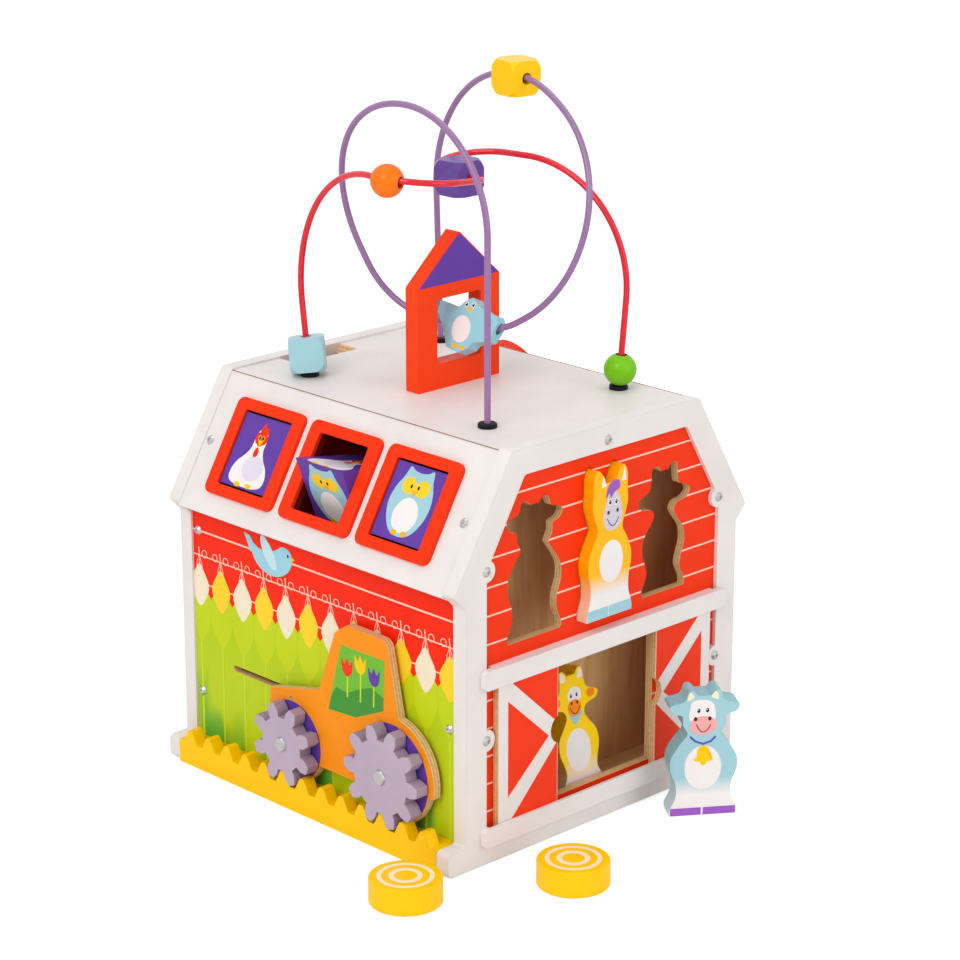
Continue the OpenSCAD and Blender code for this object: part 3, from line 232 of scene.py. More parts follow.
def board(name, axis, start, thick, face, rough=0.42, edge=None, coat=0.0):
    """A painted board: face(sh) on its two faces, bare plies or edge(sh) on its cut edges."""
    sh = Shader(name)
    flat = sh.math("ABSOLUTE", sh.along(sh.normal, axis))
    on_face = sh.remap(flat, 0.6, 0.7, 0.0, 1.0)
    cut = edge(sh) if edge else plies(sh, axis, start, thick)
    return sh.finish(sh.mix(on_face, cut, face(sh)), rough=rough, coat=coat)


def paint(name, colour, rough=0.36, coat=0.03, **more):
    sh = Shader(name)
    return sh.finish(colour, rough=rough, coat=coat, **more)


def bare(name, stretch):
    sh = Shader(name)
    return sh.finish(wood(sh, stretch), rough=0.58, bump=0.3, grain=90.0, stretch=stretch)


INKS = {}


def ink(name, colour):
    if name not in INKS:
        INKS[name] = paint("ink_" + name, colour, rough=0.4, coat=0.05, bevel=0.0, vary=0.03)
    return INKS[name]


def dress(node, material):
    """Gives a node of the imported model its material."""
    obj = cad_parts[node]
    if not obj.material_slots:
        obj.data.materials.append(material)
    for spot in obj.material_slots:
        spot.material = material


# ---------- printed pictures ----------


def oval(cx, cy, rx, ry=None, n=36):
    ry = rx if ry is None else ry
    return [(cx + rx * math.cos(2 * math.pi * i / n), cy + ry * math.sin(2 * math.pi * i / n))
            for i in range(n)]


def blob(points, per=6):
    """A closed smooth curve through the points."""
    out = []
    count = len(points)
    for i in range(count):
        p0, p1, p2, p3 = (Vector(points[(i + k - 1) % count]) for k in range(4))
        for j in range(per):
            t = j / per
            q = 0.5 * ((2 * p1) + (p2 - p0) * t + (2 * p0 - 5 * p1 + 4 * p2 - p3) * t * t
                       + (3 * p1 - p0 - 3 * p2 + p3) * t ** 3)
            out.append((q.x, q.y))
    return out


def stroke(points, width):
    """A line of even width along the points, as a chain of four-sided patches."""
    left, right = [], []
    for i, p in enumerate(points):
        a = Vector(points[max(i - 1, 0)])
        b = Vector(points[min(i + 1, len(points) - 1)])
        side = (b - a).normalized()
        side = Vector((-side.y, side.x)) * width / 2
        left.append(tuple(Vector(p) + side))
        right.append(tuple(Vector(p) - side))
    return [[left[i], left[i + 1], right[i + 1], right[i]] for i in range(len(points) - 1)]


def ring(cx, cy, r, width, n=24):
    """A thin ring in two halves."""
    halves = []
    for start in (0, n // 2):
        angles = [2 * math.pi * (start + i) / n for i in range(n // 2 + 1)]
        outer = [(cx + (r + width / 2) * math.cos(a),
                  cy + (r + width / 2) * math.sin(a)) for a in angles]
        inner = [(cx + (r - width / 2) * math.cos(a),
                  cy + (r - width / 2) * math.sin(a)) for a in angles]
        halves.append(outer + inner[::-1])
    return halves


def mirrored(loops):
    return [[(-x, y) for x, y in loop] for loop in loops]


def moved(loops, dx, dy):
    return [[(x + dx, y + dy) for x, y in loop] for loop in loops]


def smile(a, low, b, width=0.8):
    """A curved line from a through the low point to b."""
    points = []
    for i in range(11):
        t = i / 10
        x = a[0] * (1 - t) ** 2 + 2 * t * (1 - t) * low[0] + b[0] * t * t
        control = 2 * low[1] - (a[1] + b[1]) / 2
        y = a[1] * (1 - t) ** 2 + 2 * t * (1 - t) * control + b[1] * t * t
        points.append((x, y))
    return stroke(points, width)


class Face:
    """A flat face that carries pictures: its origin and its right and up directions, in mm."""

    def __init__(self, body, slot, origin, right, up):
        self.body, self.slot = body, slot
        self.origin, self.right, self.up = Vector(origin), Vector(right), Vector(up)
        self.out = self.right.cross(self.up).normalized()

    def art(self, name, material, loops, layer=1, slot=None):
        """Thin closed patches of one colour, a little prouder for each layer."""
        mesh = bpy.data.meshes.new(name)
        bm = bmesh.new()
        for index, loop in enumerate(loops):
            lift = PRINT_T + LAYER_T * layer + LOOP_T * (index % 5)
            area = sum(x0 * y1 - x1 * y0 for (x0, y0), (x1, y1) in zip(loop, loop[1:] + loop[:1]))
            points = list(loop) if area > 0 else list(loop)[::-1]
            high, low = [], []
            for x, y in points:
                base = self.origin + self.right * x + self.up * y
                high.append(bm.verts.new((base + self.out * lift) * MM))
                low.append(bm.verts.new((base - self.out * PRINT_ROOT) * MM))
            bm.faces.new(high)
            bm.faces.new(low[::-1])
            for i in range(len(points)):
                j = (i + 1) % len(points)
                bm.faces.new((high[j], high[i], low[i], low[j]))
        bmesh.ops.triangulate(bm, faces=[f for f in bm.faces if len(f.verts) > 4])
        bmesh.ops.recalc_face_normals(bm, faces=bm.faces[:])
        bm.to_mesh(mesh)
        bm.free()
        mesh.materials.append(material)
        obj = bpy.data.objects.new(name, mesh)
        bpy.context.collection.objects.link(obj)
        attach(obj, self.body)
        return obj


X, Y, Z = (1, 0, 0), (0, 1, 0), (0, 0, 1)

# ---------- camera ----------

AZIMUTH = math.radians(-44.237)
ELEVATION = math.radians(17.715)
DISTANCE = 2.085944
TARGET = Vector((0.012445, -0.010669, 0.207205))
eye = Vector((math.sin(AZIMUTH) * math.cos(ELEVATION), -math.cos(AZIMUTH) * math.cos(ELEVATION),
              math.sin(ELEVATION)))
camera_data = bpy.data.cameras.new("camera")
camera_data.lens = 112.65
camera_data.sensor_width = 36.0
camera_data.clip_start = 0.05
camera_data.clip_end = 30.0
camera = bpy.data.objects.new("camera", camera_data)
camera.location = TARGET + DISTANCE * eye
camera.rotation_euler = Euler((math.pi / 2 - ELEVATION, 0.0, AZIMUTH))
bpy.context.collection.objects.link(camera)
bpy.context.scene.camera = camera

# ---------- house ----------

SLOPE_COS, SLOPE_SIN = 0.5079, 0.8614
LEFT_OUT = (-SLOPE_SIN, 0, SLOPE_COS)
LEFT_UP = (SLOPE_COS, 0, SLOPE_SIN)
RIGHT_OUT = (SLOPE_SIN, 0, SLOPE_COS)


def white_face(sh):
    speck = sh.noise(900.0, 2.0)
    return sh.mix(sh.remap(speck, 0.35, 0.7, 0.0, 1.0), WHITE, seen(229, 222, 219))


def clapboard(sh):
    """Red with a thin white line at every board."""
    line = sh.near(sh.mm[2], COURSE, FIRST_COURSE_Z, COURSE_HALF)
    return sh.mix(line, RED, LINE_ON_RED)


def garden(sh):
    """Red above a zigzag, a green gradient with darker patches under it."""
    leaves = sh.math("DIVIDE", sh.math("SUBTRACT", sh.mm[1], FIRST_LEAF_Y), LEAF_PITCH)
    part = sh.math("FRACT", sh.math("ADD", leaves, 0.5))
    valley = sh.math("MULTIPLY", sh.math("ABSOLUTE", sh.math("SUBTRACT", part, 0.5)), 34.0)
    edge = sh.math("SUBTRACT", 136.0, valley)
    above = sh.math("GREATER_THAN", sh.mm[2], edge)
    rise = sh.remap(sh.mm[2], 70.0, 118.0, 0.0, 1.0)
    middle = sh.mix(rise, seen(188, 208, 30), seen(170, 200, 0))
    green = sh.mix(sh.remap(sh.mm[2], 22.0, 62.0, 0.0, 1.0), seen(184, 208, 14), middle)
    patch = sh.noise(22.0, 1.0, (1.0, 1.6, 0.7))
    low = sh.remap(sh.mm[2], 20.0, 75.0, 1.0, 0.0)
    shade = sh.math("MULTIPLY", sh.remap(patch, 0.5, 0.62, 0.0, 1.0), low)
    green = sh.mix(shade, green, seen(92, 178, 54))
    return sh.mix(above, green, WALL_RED)


def white_board(name, axis, start, thick):
    return board(name, axis, start, thick, white_face, rough=0.4, edge=white_face, coat=0.05)


for node, axis, start, thick in (
    ("front_gable_frame", Y, FRAME_FACE_Y, FRAME_T),
    ("back_gable_frame", Y, BACK_FRAME_Y, FRAME_T),
    ("right_roof_panel", RIGHT_OUT, 0.0, BOARD_T),
    ("upper_door_rail", Y, RAIL_FACE_Y, RAIL_T),
    ("lower_door_rail", Y, RAIL_FACE_Y, RAIL_T),
):
    dress(node, white_board("white_" + node, axis, start, thick))


WINDOWS_HALF_Y, WINDOWS_LOW_Z, WINDOWS_HIGH_Z = 112.0, 196.0, 268.0


def opening_shade_edge(sh):
    """White outside; dark red painted shade round the window openings, where their inner faces lie
    in shadow.
    """
    inside = sh.math("LESS_THAN", sh.math("ABSOLUTE", sh.mm[1]), WINDOWS_HALF_Y)
    low = sh.math("GREATER_THAN", sh.mm[2], WINDOWS_LOW_Z)
    high = sh.math("LESS_THAN", sh.mm[2], WINDOWS_HIGH_Z)
    return sh.mix(sh.math("MULTIPLY", inside, sh.math("MULTIPLY", low, high)), WHITE, MAROON)


# The left roof board's cut edges round the windows carry dark red painted shade.
dress("left_roof_panel", board("white_left_roof", LEFT_OUT, 0.0, BOARD_T, white_face,
                               edge=opening_shade_edge, coat=0.05))
dress("top_roof_panel", board("white_top_roof", Z, ROOF_TOP_Z - BOARD_T, BOARD_T, white_face,
                              coat=0.05))
dress("front_panel", board("front_print", Y, PANEL_FACE_Y, BOARD_T, clapboard))
dress("back_panel", board("back_print", Y, BACK_PANEL_Y, BOARD_T, clapboard))
dress("left_side_panel", board("left_garden", X, -SIDE_FACE_X, BOARD_T, garden))
dress("right_side_panel", board("right_garden", X, RIGHT_SIDE_IN_X, BOARD_T, garden))
for node, stretch in (
    ("floor_board", (1, 14, 14)), ("stall_board", (14, 14, 1)), ("chute_board", (14, 14, 1)),
    ("corner_posts", (16, 16, 1)), ("roof_cleats", (16, 1, 16)), ("bale_ramps", (1, 14, 14)),
    ("block_axle", (20, 1, 20)), ("cupola_dowels", (20, 20, 1)),
    ("keeper_bar", (20, 1, 20)),
):
    dress(node, bare("wood_" + node, stretch))


BRICK_H, BRICK_L, JOINT_HALF = 9.0, 18.0, 0.45


def brick(sh):
    """Dark red with thin brick joints, drawn on the sloping board behind the windows."""
    up = sh.math("MULTIPLY", sh.along(sh.place, LEFT_UP), 1000.0)
    course = sh.near(up, BRICK_H, 0.0, JOINT_HALF)
    row = sh.math("FLOOR", sh.math("DIVIDE", up, BRICK_H))
    odd = sh.math("MULTIPLY", sh.math("FRACT", sh.math("MULTIPLY", row, 0.5)), BRICK_L)
    joint = sh.near(sh.math("ADD", sh.mm[1], odd), BRICK_L, 0.0, JOINT_HALF)
    return sh.mix(sh.math("MAXIMUM", course, joint), MAROON, seen(74, 14, 12))


dress("window_back_board", board("brick_print", LEFT_OUT, 0.0, BOARD_T, brick, edge=brick))
dress("axle_boards", paint("lining_red", seen(176, 30, 12), rough=0.5, vary=0.12))
for number in (1, 2, 3):
    dress("window_frame_%d" % number, paint("frame_red_%d" % number, RED, rough=0.38))
    dress("picture_block_%d" % number, paint("block_purple_%d" % number, PURPLE, rough=0.4))


def steel(name):
    sh = Shader(name)
    streak = sh.noise(180.0, 3.0, (1, 1, 6))
    colour = sh.mix(sh.remap(streak, 0.3, 0.7, 0.0, 1.0), seen(206, 204, 204), seen(184, 182, 184))
    return sh.finish(colour, rough=0.3, spread=0.04, metal=1.0, bump=0.04, bevel=0.0003, vary=0.04)


for node in ("roof_screws", "side_screws", "gable_screws", "disc_pin", "guide_pins", "gear_pins"):
    dress(node, steel("steel_" + node))

dress("wire_grommets", paint("grommet_black", seen(26, 22, 28), rough=0.45, coat=0.0, bump=0.2))
dress("purple_wire", paint("wire_mauve", MAUVE, rough=0.2, coat=0.6, bevel=0.0, bump=0.04))
dress("red_wire", paint("wire_red", WIRE_RED, rough=0.2, coat=0.6, bevel=0.0, bump=0.04))
for node, colour in (
    ("orange_ball_bead", ORANGE_BALL), ("green_ball_bead", LIME), ("blue_cube_bead", BLUE),
    ("purple_cube_bead", seen(100, 72, 150)), ("yellow_cube_bead", YELLOW), ("roof_disc", RED),
):
    dress(node, paint("bead_" + node, colour, rough=0.3, coat=0.15, bevel=0.0, bump=0.01))


dress("cupola", paint("cupola_red", seen(250, 64, 10), rough=0.36))
dress("gear_rack", paint("rack_yellow", YELLOW, rough=0.36))


def gear_face(sh):
    return sh.mix(sh.noise(40.0), LILAC, seen(178, 162, 184))


def gear_edge(sh):
    return sh.mix(sh.noise(60.0), seen(168, 150, 168), seen(156, 138, 158))


def tractor_face(sh):
    return sh.mix(sh.noise(30.0), TRACTOR, seen(246, 148, 20))


for node in ("front_gear", "rear_gear"):
    dress(node, board("gear_" + node, X, GEAR_FACE_X, GEAR_T, gear_face, edge=gear_edge))
dress("tractor_body", board("tractor_orange", X, TRACTOR_FACE_X, BOARD_T, tractor_face))
for node in ("left_door", "right_door"):
    dress(node, board("door_" + node, Y, DOOR_FACE_Y, DOOR_T, white_face))

# Pictures on the doors
DOOR_LOOPS = [
    [(-90.6, 123), (-48.1, 124), (-48.1, 87.6), (-49.3, 86.9), (-50.65, 85.95)],
    [(-94, 110.7), (-56, 76), (-94, 43)],
    [(-91, 26.5), (-49.05, 68.94), (-48.1, 68.4), (-48.1, 27)],
]
door_front = Face("left_door", "red_paint", (0, DOOR_FACE_Y, 0), X, Z)
door_front.art("left_door_red", ink("red", RED), DOOR_LOOPS)
door_front = Face("right_door", "red_paint", (0, DOOR_FACE_Y, 0), X, Z)
door_front.art("right_door_red", ink("red", RED), mirrored(DOOR_LOOPS))

# Seams between the roof boards
for side in (-1, 1):
    seam = Face("house", "plywood", (88.9 * side, 0, ROOF_TOP_Z), X, Y)
    seam.art("roof_seam_%s" % ("left" if side < 0 else "right"), ink("seam", seen(150, 104, 66)),
             [[(-0.5, -PRINT_END_Y), (0.5, -PRINT_END_Y), (0.5, PRINT_END_Y), (-0.5, PRINT_END_Y)]])

# Cupola gable
cupola_front = Face("house", "purple_paint", (0, -3.2, 0), X, Z)
GABLE_LOOP = [(-37.4, 350.3), (37.4, 350.3), (0.9, 382.9), (-0.9, 382.9)]
cupola_front.art("cupola_triangle", ink("purple", PURPLE), [GABLE_LOOP])
cupola_back = Face("house", "purple_paint", (0, 9.2, 0), (-1, 0, 0), Z)
cupola_back.art("cupola_triangle_back", ink("purple", PURPLE), [GABLE_LOOP])

# ---------- side pictures ----------

LEAF_Y = [FIRST_LEAF_Y - LEAF_PITCH * k for k in range(12)]
leaf = blob([(0, 146.3), (5.2, 140), (9.0, 133.6), (9.4, 128), (5.8, 120.5), (0, 114.5),
             (-5.8, 120.5), (-9.4, 128), (-9.0, 133.6), (-5.2, 140)], 4)
under = [(-11.5, 122), (-11.5, 106), (-8, 97.5), (-3.2, 91), (0, 87.5), (3.2, 91), (8, 97.5),
         (11.5, 106), (11.5, 122), (7, 127), (-7, 127)]


def clip_y(loop, limit=PRINT_END_Y):
    return [(max(-limit, min(limit, x)), y) for x, y in loop]


def side_pictures(face, tag, sign, slot_gap):
    """The garden on a side board; sign turns y into the face's right direction."""
    def at(y, loops):
        return [clip_y(loop) for loop in moved(loops, sign * y, 0)]

    lime = [loop for y in LEAF_Y for loop in at(y, [under])]
    face.art(tag + "_lime_leaves", ink("leaf_lime", seen(194, 210, 12)), lime, 1)
    stems = []
    for y in LEAF_Y:
        spans = [(17, 88)]
        if slot_gap and abs(y) < 93.5:
            spans = [(17, 74.6), (80, 88)]
        for low, high in spans:
            stems += at(y, [[(-1.0, low), (1.0, low), (1.0, high), (-1.0, high)]])
    face.art(tag + "_stems", ink("stem", STEM), stems, 2)
    face.art(tag + "_cream_leaves", ink("leaf_cream", seen(240, 226, 196)),
             [loop for y in LEAF_Y[0::2] for loop in at(y, [leaf])], 3)
    face.art(tag + "_yellow_leaves", ink("leaf_yellow", seen(250, 208, 40)),
             [loop for y in LEAF_Y[1::2] for loop in at(y, [leaf])], 3)
    lines = [[(-132.3, z - w / 2), (132.3, z - w / 2), (132.3, z + w / 2), (-132.3, z + w / 2)]
             for z, w in ((170.5, 1.3), (152.3, 0.9), (132.0, 1.0))]
    face.art(tag + "_lines", ink("line_on_red", LINE_ON_RED), lines, 2)
    knots = []
    for y in LEAF_Y:
        knots += at(y, stroke([(-0.4, 158.5), (0.4, 151), (-0.2, 143)], 0.8)
                    + stroke([(0, 153), (2.6, 146), (3.6, 140)], 0.45)
                    + stroke([(0, 153), (-2.6, 146), (-3.6, 140)], 0.45))
        for shift in (-5.8, 5.8):
            if abs(y + shift) < 128:
                knots += [loop for loop in moved(ring(0, 154.2, 2.6, 0.55), sign * (y + shift), 0)]
    face.art(tag + "_wire_knots", ink("line_on_red", LINE_ON_RED), knots, 4)


left_wall = Face("house", "garden_print", (-SIDE_FACE_X, 0, 0), (0, -1, 0), Z)
side_pictures(left_wall, "left", -1, True)
right_wall = Face("house", "garden_print", (SIDE_FACE_X, 0, 0), (0, 1, 0), Z)
side_pictures(right_wall, "right", 1, False)


def wall_bird(face, tag, sign):
    """A small bird in flight over the fence."""
    body = blob([(-74.5, 180.3), (-71, 175), (-65, 163.5), (-55, 157.6), (-42.9, 157.1),
                 (-33, 161.5), (-27.6, 168), (-26.6, 174), (-29.5, 178.8), (-36.2, 180.2),
                 (-42, 177), (-50, 173.5), (-62, 173.6)], 5)
    tail = [(-76.5, 181.5), (-70.5, 180.5), (-64, 172), (-69.9, 168.9)]
    wing = blob([(-59, 182.2), (-54.1, 182.8), (-45, 172), (-42.6, 163.8), (-46, 161.2),
                 (-52.5, 166), (-57.5, 174)], 5)
    beak = [(-27.6, 171.6), (-27.4, 175.4), (-23.6, 173.6)]
    body, tail, wing, beak = ([(sign * x, z) for x, z in loop] for loop in (body, tail, wing, beak))
    face.art(tag + "_bird", ink("bird_blue", BIRD_BLUE), [body, tail], 6)
    face.art(tag + "_bird_wing", ink("bird_wing", seen(198, 224, 232)), [wing], 8)
    face.art(tag + "_bird_beak", ink("beak", BEAK), [beak], 8)
    face.art(tag + "_bird_eye", ink("black", BLACK), [oval(sign * -30.6, 174.9, 0.9, 1.2)], 8)


wall_bird(left_wall, "left", 1)
wall_bird(right_wall, "right", 1)

# ---------- tractor ----------

tractor_side = Face("tractor", "purple_paint", (TRACTOR_FACE_X, 0, 0), (0, -1, 0), Z)
tractor_side.art("wheel_discs", ink("purple", PURPLE), [oval(-19, 46.96, 28.9, n=64),
                                                        oval(81, 53.33, 34.9, n=64)])
cab = [(32, 130.7), (75, 130.7), (73.3, 95), (46, 82.6), (18.4, 80.8)]
tractor_side.art("cab_window", ink("cab_green", seen(112, 184, 52)), [cab], slot="lime_paint")
hills = [[(19, 81.3), (46, 82.9), (73.4, 95.3), (73.8, 104), (62, 108.5), (50, 104), (38, 98),
          (27, 99), (22.5, 93)]]
tractor_side.art("cab_hill", ink("cab_dark_green", seen(66, 146, 52)), hills, 2, slot="lime_paint")
tractor_side.art("cab_stems", ink("stem", STEM), [stroke([(x, 95), (x + 0.6, z - 6)], 1.4)[0] for x,
                                                  z in ((38, 119), (51, 124), (64, 119))], 3,
                 slot="lime_paint")
tulip = blob([(-5.4, 6.2), (-2.6, 2.4), (0, 6.8), (2.6, 2.4), (5.4, 6.2), (4.6, -2.6), (0, -6.2),
              (-4.6, -2.6)], 4)
for tag, x, z, colour in (("red", 38, 116, RED), ("yellow", 51.3, 121, YELLOW),
                          ("purple", 64.6, 116, PURPLE)):
    tractor_side.art("cab_tulip_" + tag, ink(tag, colour), moved([tulip], x, z), 4,
                     slot=tag + "_paint")

# ---------- picture blocks ----------

AXLE_X, AXLE_Z = -103.169, 226.989
BLOCK_IN = 15.01
BLOCK_Y = {1: 77.0, 2: 0.0, 3: -77.0}


def block_face(number, degrees):
    turn = math.radians(degrees)
    up, out = Vector(LEFT_UP), Vector(LEFT_OUT)
    normal = up * math.cos(turn) + out * math.sin(turn)
    rise = up * math.sin(turn) - out * math.cos(turn)
    origin = Vector((AXLE_X, BLOCK_Y[number], AXLE_Z)) + normal * BLOCK_IN
    return Face("picture_block_%d" % number, "white_paint", origin, (0, -1, 0), rise)


def hen(face, tag):
    face.art(tag + "_hen_body", ink("hen_white", INK_WHITE),
             [blob([(0.4, 18.6), (4.6, 15.6), (6.2, 10), (6.4, 3), (9.5, -3), (15, -9),
                    (17.6, -15.5), (16.2, -21.5), (9, -24.2), (0, -24.6), (-9, -24.2),
                    (-16.2, -21.5), (-17.6, -15.5), (-15, -8.5), (-9.5, -2.5), (-6.2, 3),
                    (-5.6, 10), (-3.8, 15.6)])])
    face.art(tag + "_hen_wing", ink("hen_grey", seen(222, 214, 228)), [oval(2.6, -10.5, 10.2, 9.0)],
             2)
    face.art(tag + "_hen_comb", ink("red", RED), [blob([(-2.8, 14.6), (-2.2, 19), (0.2, 22.2),
                                                        (1.2, 18.6), (4, 19), (5.4, 15.2),
                                                        (1, 14)])], 2, slot="red_paint")
    face.art(tag + "_hen_mask", ink("red", RED), [oval(-2.4, 10.9, 3.3, 4.2),
                                                  oval(3.0, 10.9, 3.3, 4.2),
                                                  oval(0.3, 9.5, 3.4, 4.4)], 2, slot="red_paint")
    face.art(tag + "_hen_wattle", ink("red", RED), [blob([(-0.2, 4.6), (-2.2, 1.6), (-1.9, -1.8),
                                                          (0.1, -2.6), (1.9, -1.2), (2.2, 2)])], 3,
             slot="red_paint")
    face.art(tag + "_hen_beak", ink("yellow", YELLOW), [[(-2, 9.6), (3, 9.6), (0.6, 4.5)]], 4,
             slot="yellow_paint")
    face.art(tag + "_hen_eye_ring", ink("orange", EYE_RING),
             [oval(-1.7, 11.2, 1.5, 2.2), oval(2.1, 11.2, 1.5, 2.2)], 3, slot="orange_paint")
    face.art(tag + "_hen_eyes", ink("black", BLACK), [oval(-1.5, 11.2, 0.8, 1.2),
                                                      oval(1.9, 11.2, 0.8, 1.2)], 4,
             slot="purple_paint")
    face.art(tag + "_hen_feet", ink("yellow", YELLOW), [oval(-6.5, -23.6, 3.1, 1.7),
                                                        oval(4.5, -23.2, 3.1, 1.7)], 3,
             slot="yellow_paint")


def owl(face, tag):
    face.art(tag + "_owl_body", ink("owl_blue", BLUE), [blob([(-10.1, 24), (-5.5, 22.2),
                                                              (0.6, 21.4), (6.8, 22.4),
                                                              (11.5, 24.5), (13.8, 17), (17.4, 9),
                                                              (18.8, 0), (17, -9), (12, -17.5),
                                                              (5, -22), (-5, -22), (-12, -17.5),
                                                              (-17, -9), (-18.8, 0), (-16.8, 9),
                                                              (-12.8, 17)])], slot="blue_paint")
    face.art(tag + "_owl_belly", ink("hen_white", INK_WHITE),
             [blob([(0, 4.1), (6.5, 1.6), (10.6, -4.5), (11, -10.5), (7.5, -17), (0, -20),
                    (-7.5, -17), (-11, -10.5), (-10.6, -4.5), (-6.5, 1.6)])], 2)
    face.art(tag + "_owl_goggles", ink("owl_yellow", seen(250, 205, 40)),
             [oval(-5.9, 11.6, 6.3, 5.8), oval(6.7, 11.5, 6.3, 5.8)], 2, slot="yellow_paint")
    face.art(tag + "_owl_beak", ink("golden", GOLDEN), [[(-2, 9.4), (3.2, 9.4), (0.6, 4.3)]], 4,
             slot="golden_paint")
    face.art(tag + "_owl_eyes", ink("black", BLACK), [oval(-3.6, 11.4, 0.9, 1.4),
                                                      oval(2.9, 11.6, 0.9, 1.4)], 4,
             slot="purple_paint")
    face.art(tag + "_owl_feet", ink("golden", GOLDEN), [oval(-4.4, -20.4, 2.8, 1.9),
                                                        oval(4.7, -20.1, 2.8, 1.9)], 3,
             slot="golden_paint")


def chick(face, tag):
    face.art(tag + "_chick_body", ink("yellow", YELLOW), [oval(0, -7, 14.5, 13),
                                                          oval(0, 10, 9.5, 9)], slot="yellow_paint")
    face.art(tag + "_chick_wings", ink("golden", GOLDEN),
             [oval(-9.5, -6, 4, 7.5), oval(9.5, -6, 4, 7.5)], 2, slot="golden_paint")
    face.art(tag + "_chick_beak", ink("orange", EYE_RING),
             [[(-2.2, 9.5), (2.2, 9.5), (0, 5.6)], oval(-4.5, -20.4, 2.8, 1.4),
              oval(4.5, -20.4, 2.8, 1.4)], 3, slot="orange_paint")
    face.art(tag + "_chick_eyes", ink("black", BLACK), [oval(-3.4, 12, 0.9, 1.2),
                                                        oval(3.4, 12, 0.9, 1.2)], 3,
             slot="purple_paint")


for number, angles in ((1, (90, 210, 330)), (3, (210, 90, 330)), (2, (21, 141, 261))):
    for picture, degrees in zip((hen, owl, chick), angles):
        picture(block_face(number, degrees), "block_%d" % number)

# ---------- animals ----------


def animal_paint(name, axis, front, side, low, high, foot, shift=0.0):
    """Front colour that fades to white near the feet; plain side colour round the cut edge."""
    sh = Shader(name)
    flat = sh.math("ABSOLUTE", sh.along(sh.normal, axis))
    on_face = sh.remap(flat, 0.6, 0.7, 0.0, 1.0)
    fade = sh.remap(sh.mm[2], foot + low, foot + high, 0.0, 1.0)
    face = sh.mix(fade, INK_WHITE, front)
    edge_tone = sh.mix(sh.noise(70.0, 3.0, (1, 1, 8)), side, front)
    edge_fade = sh.remap(sh.mm[2], foot + low - 4, foot + high, 0.0, 1.0)
    edge = sh.mix(edge_fade, sh.mix(0.5, side, INK_WHITE), edge_tone)
    return sh.finish(sh.mix(on_face, edge, face), rough=0.36, coat=0.2)


def eyes(face, tag, spots, rx=1.1, ry=1.6, layer=4):
    face.art(tag + "_eye_whites", ink("white", INK_WHITE),
             [oval(x, y, rx * 1.7, ry * 1.6) for x, y in spots], layer - 1, slot="white_paint")
    face.art(tag + "_eyes", ink("black", BLACK), [oval(x, y, rx, ry) for x, y in spots], layer,
             slot="purple_paint")
    face.art(tag + "_eye_glints", ink("white", INK_WHITE),
             [oval(x - 0.35, y + 0.6, 0.4) for x, y in spots], layer + 1, slot="white_paint")


dress("horse", animal_paint("horse_paint", Y, HORSE, HORSE_SIDE, 17.0, 31.0, 147.4))
horse = Face("horse", "orange_paint", (-3, -149.7, 147.4), X, Z)
horse.art("horse_belly", ink("white", INK_WHITE), [oval(1.2, 38.6, 11.2, 14.6)], slot="white_paint")
horse.art("horse_face", ink("muzzle_lilac", seen(208, 202, 212)),
          [blob([(2, 60), (8.6, 62.4), (11.4, 70), (9.6, 78), (6.4, 85.5), (-1.6, 85.5), (-4.6, 78),
                 (-6.9, 70), (-4.4, 62.4)])], 2, slot="white_paint")
horse.art("horse_ears", ink("white", INK_WHITE), [[(-7.1, 99.5), (-8.6, 91.2), (-4.1, 91.6)],
                                                  [(13.2, 101.9), (10.0, 92.6), (14.8, 92)]], 2,
          slot="white_paint")
horse.art("horse_forelock", ink("light_purple", LIGHT_PURPLE),
          [blob([(7.6, 93.6), (2.5, 94.2), (-2.5, 90.8), (-4.4, 83.4), (-1, 86.4), (0, 82.6),
                 (3.6, 86.2), (8.6, 88.4)])], 3, slot="purple_paint")
eyes(horse, "horse", [(-0.6, 79.9), (5.3, 79.4)])
horse.art("horse_mouth", ink("dark_line", DARK_LINE), smile((-3.2, 69.1), (1.9, 63.2), (7.9, 68.1),
                                                            0.65), 3, slot="red_paint")
horse.art("horse_nostrils", ink("dark_line", DARK_LINE), [oval(-2.1, 72.9, 1.2, 1.4),
                                                          oval(6.6, 73, 1.2, 1.4)], 3,
          slot="orange_paint")
horse.art("horse_hooves", ink("hoof_blue", BLUE), [[(-21.2, 0.3), (-1.3, 0.3), (-1.3, 7.6),
                                                    (-20.8, 7.6)],
                                                   [(-0.5, 0.3), (21.2, 0.3), (20.8, 7.6),
                                                    (-0.5, 7.6)]], 2, slot="blue_paint")

GOAT_ROOM, GOAT_TOP, TOY_T = 32.9, 85.5, 17.5
GOAT_LEAN = math.asin(GOAT_ROOM / math.hypot(TOY_T, GOAT_TOP)) - math.atan2(TOY_T, GOAT_TOP)
GOAT_SIZE = 0.95
GOAT_FOOT = (-6.5, -132.8, 14.4 + TOY_T * math.sin(GOAT_LEAN))
dress("goat", animal_paint("goat_paint", (0, -math.cos(GOAT_LEAN), math.sin(GOAT_LEAN)), GOAT,
                           GOAT_SIDE, 6.0, 20.0, 20.0))
goat = Face("goat", "golden_paint", GOAT_FOOT, (GOAT_SIZE, 0, 0),
            (0, GOAT_SIZE * math.sin(GOAT_LEAN), GOAT_SIZE * math.cos(GOAT_LEAN)))


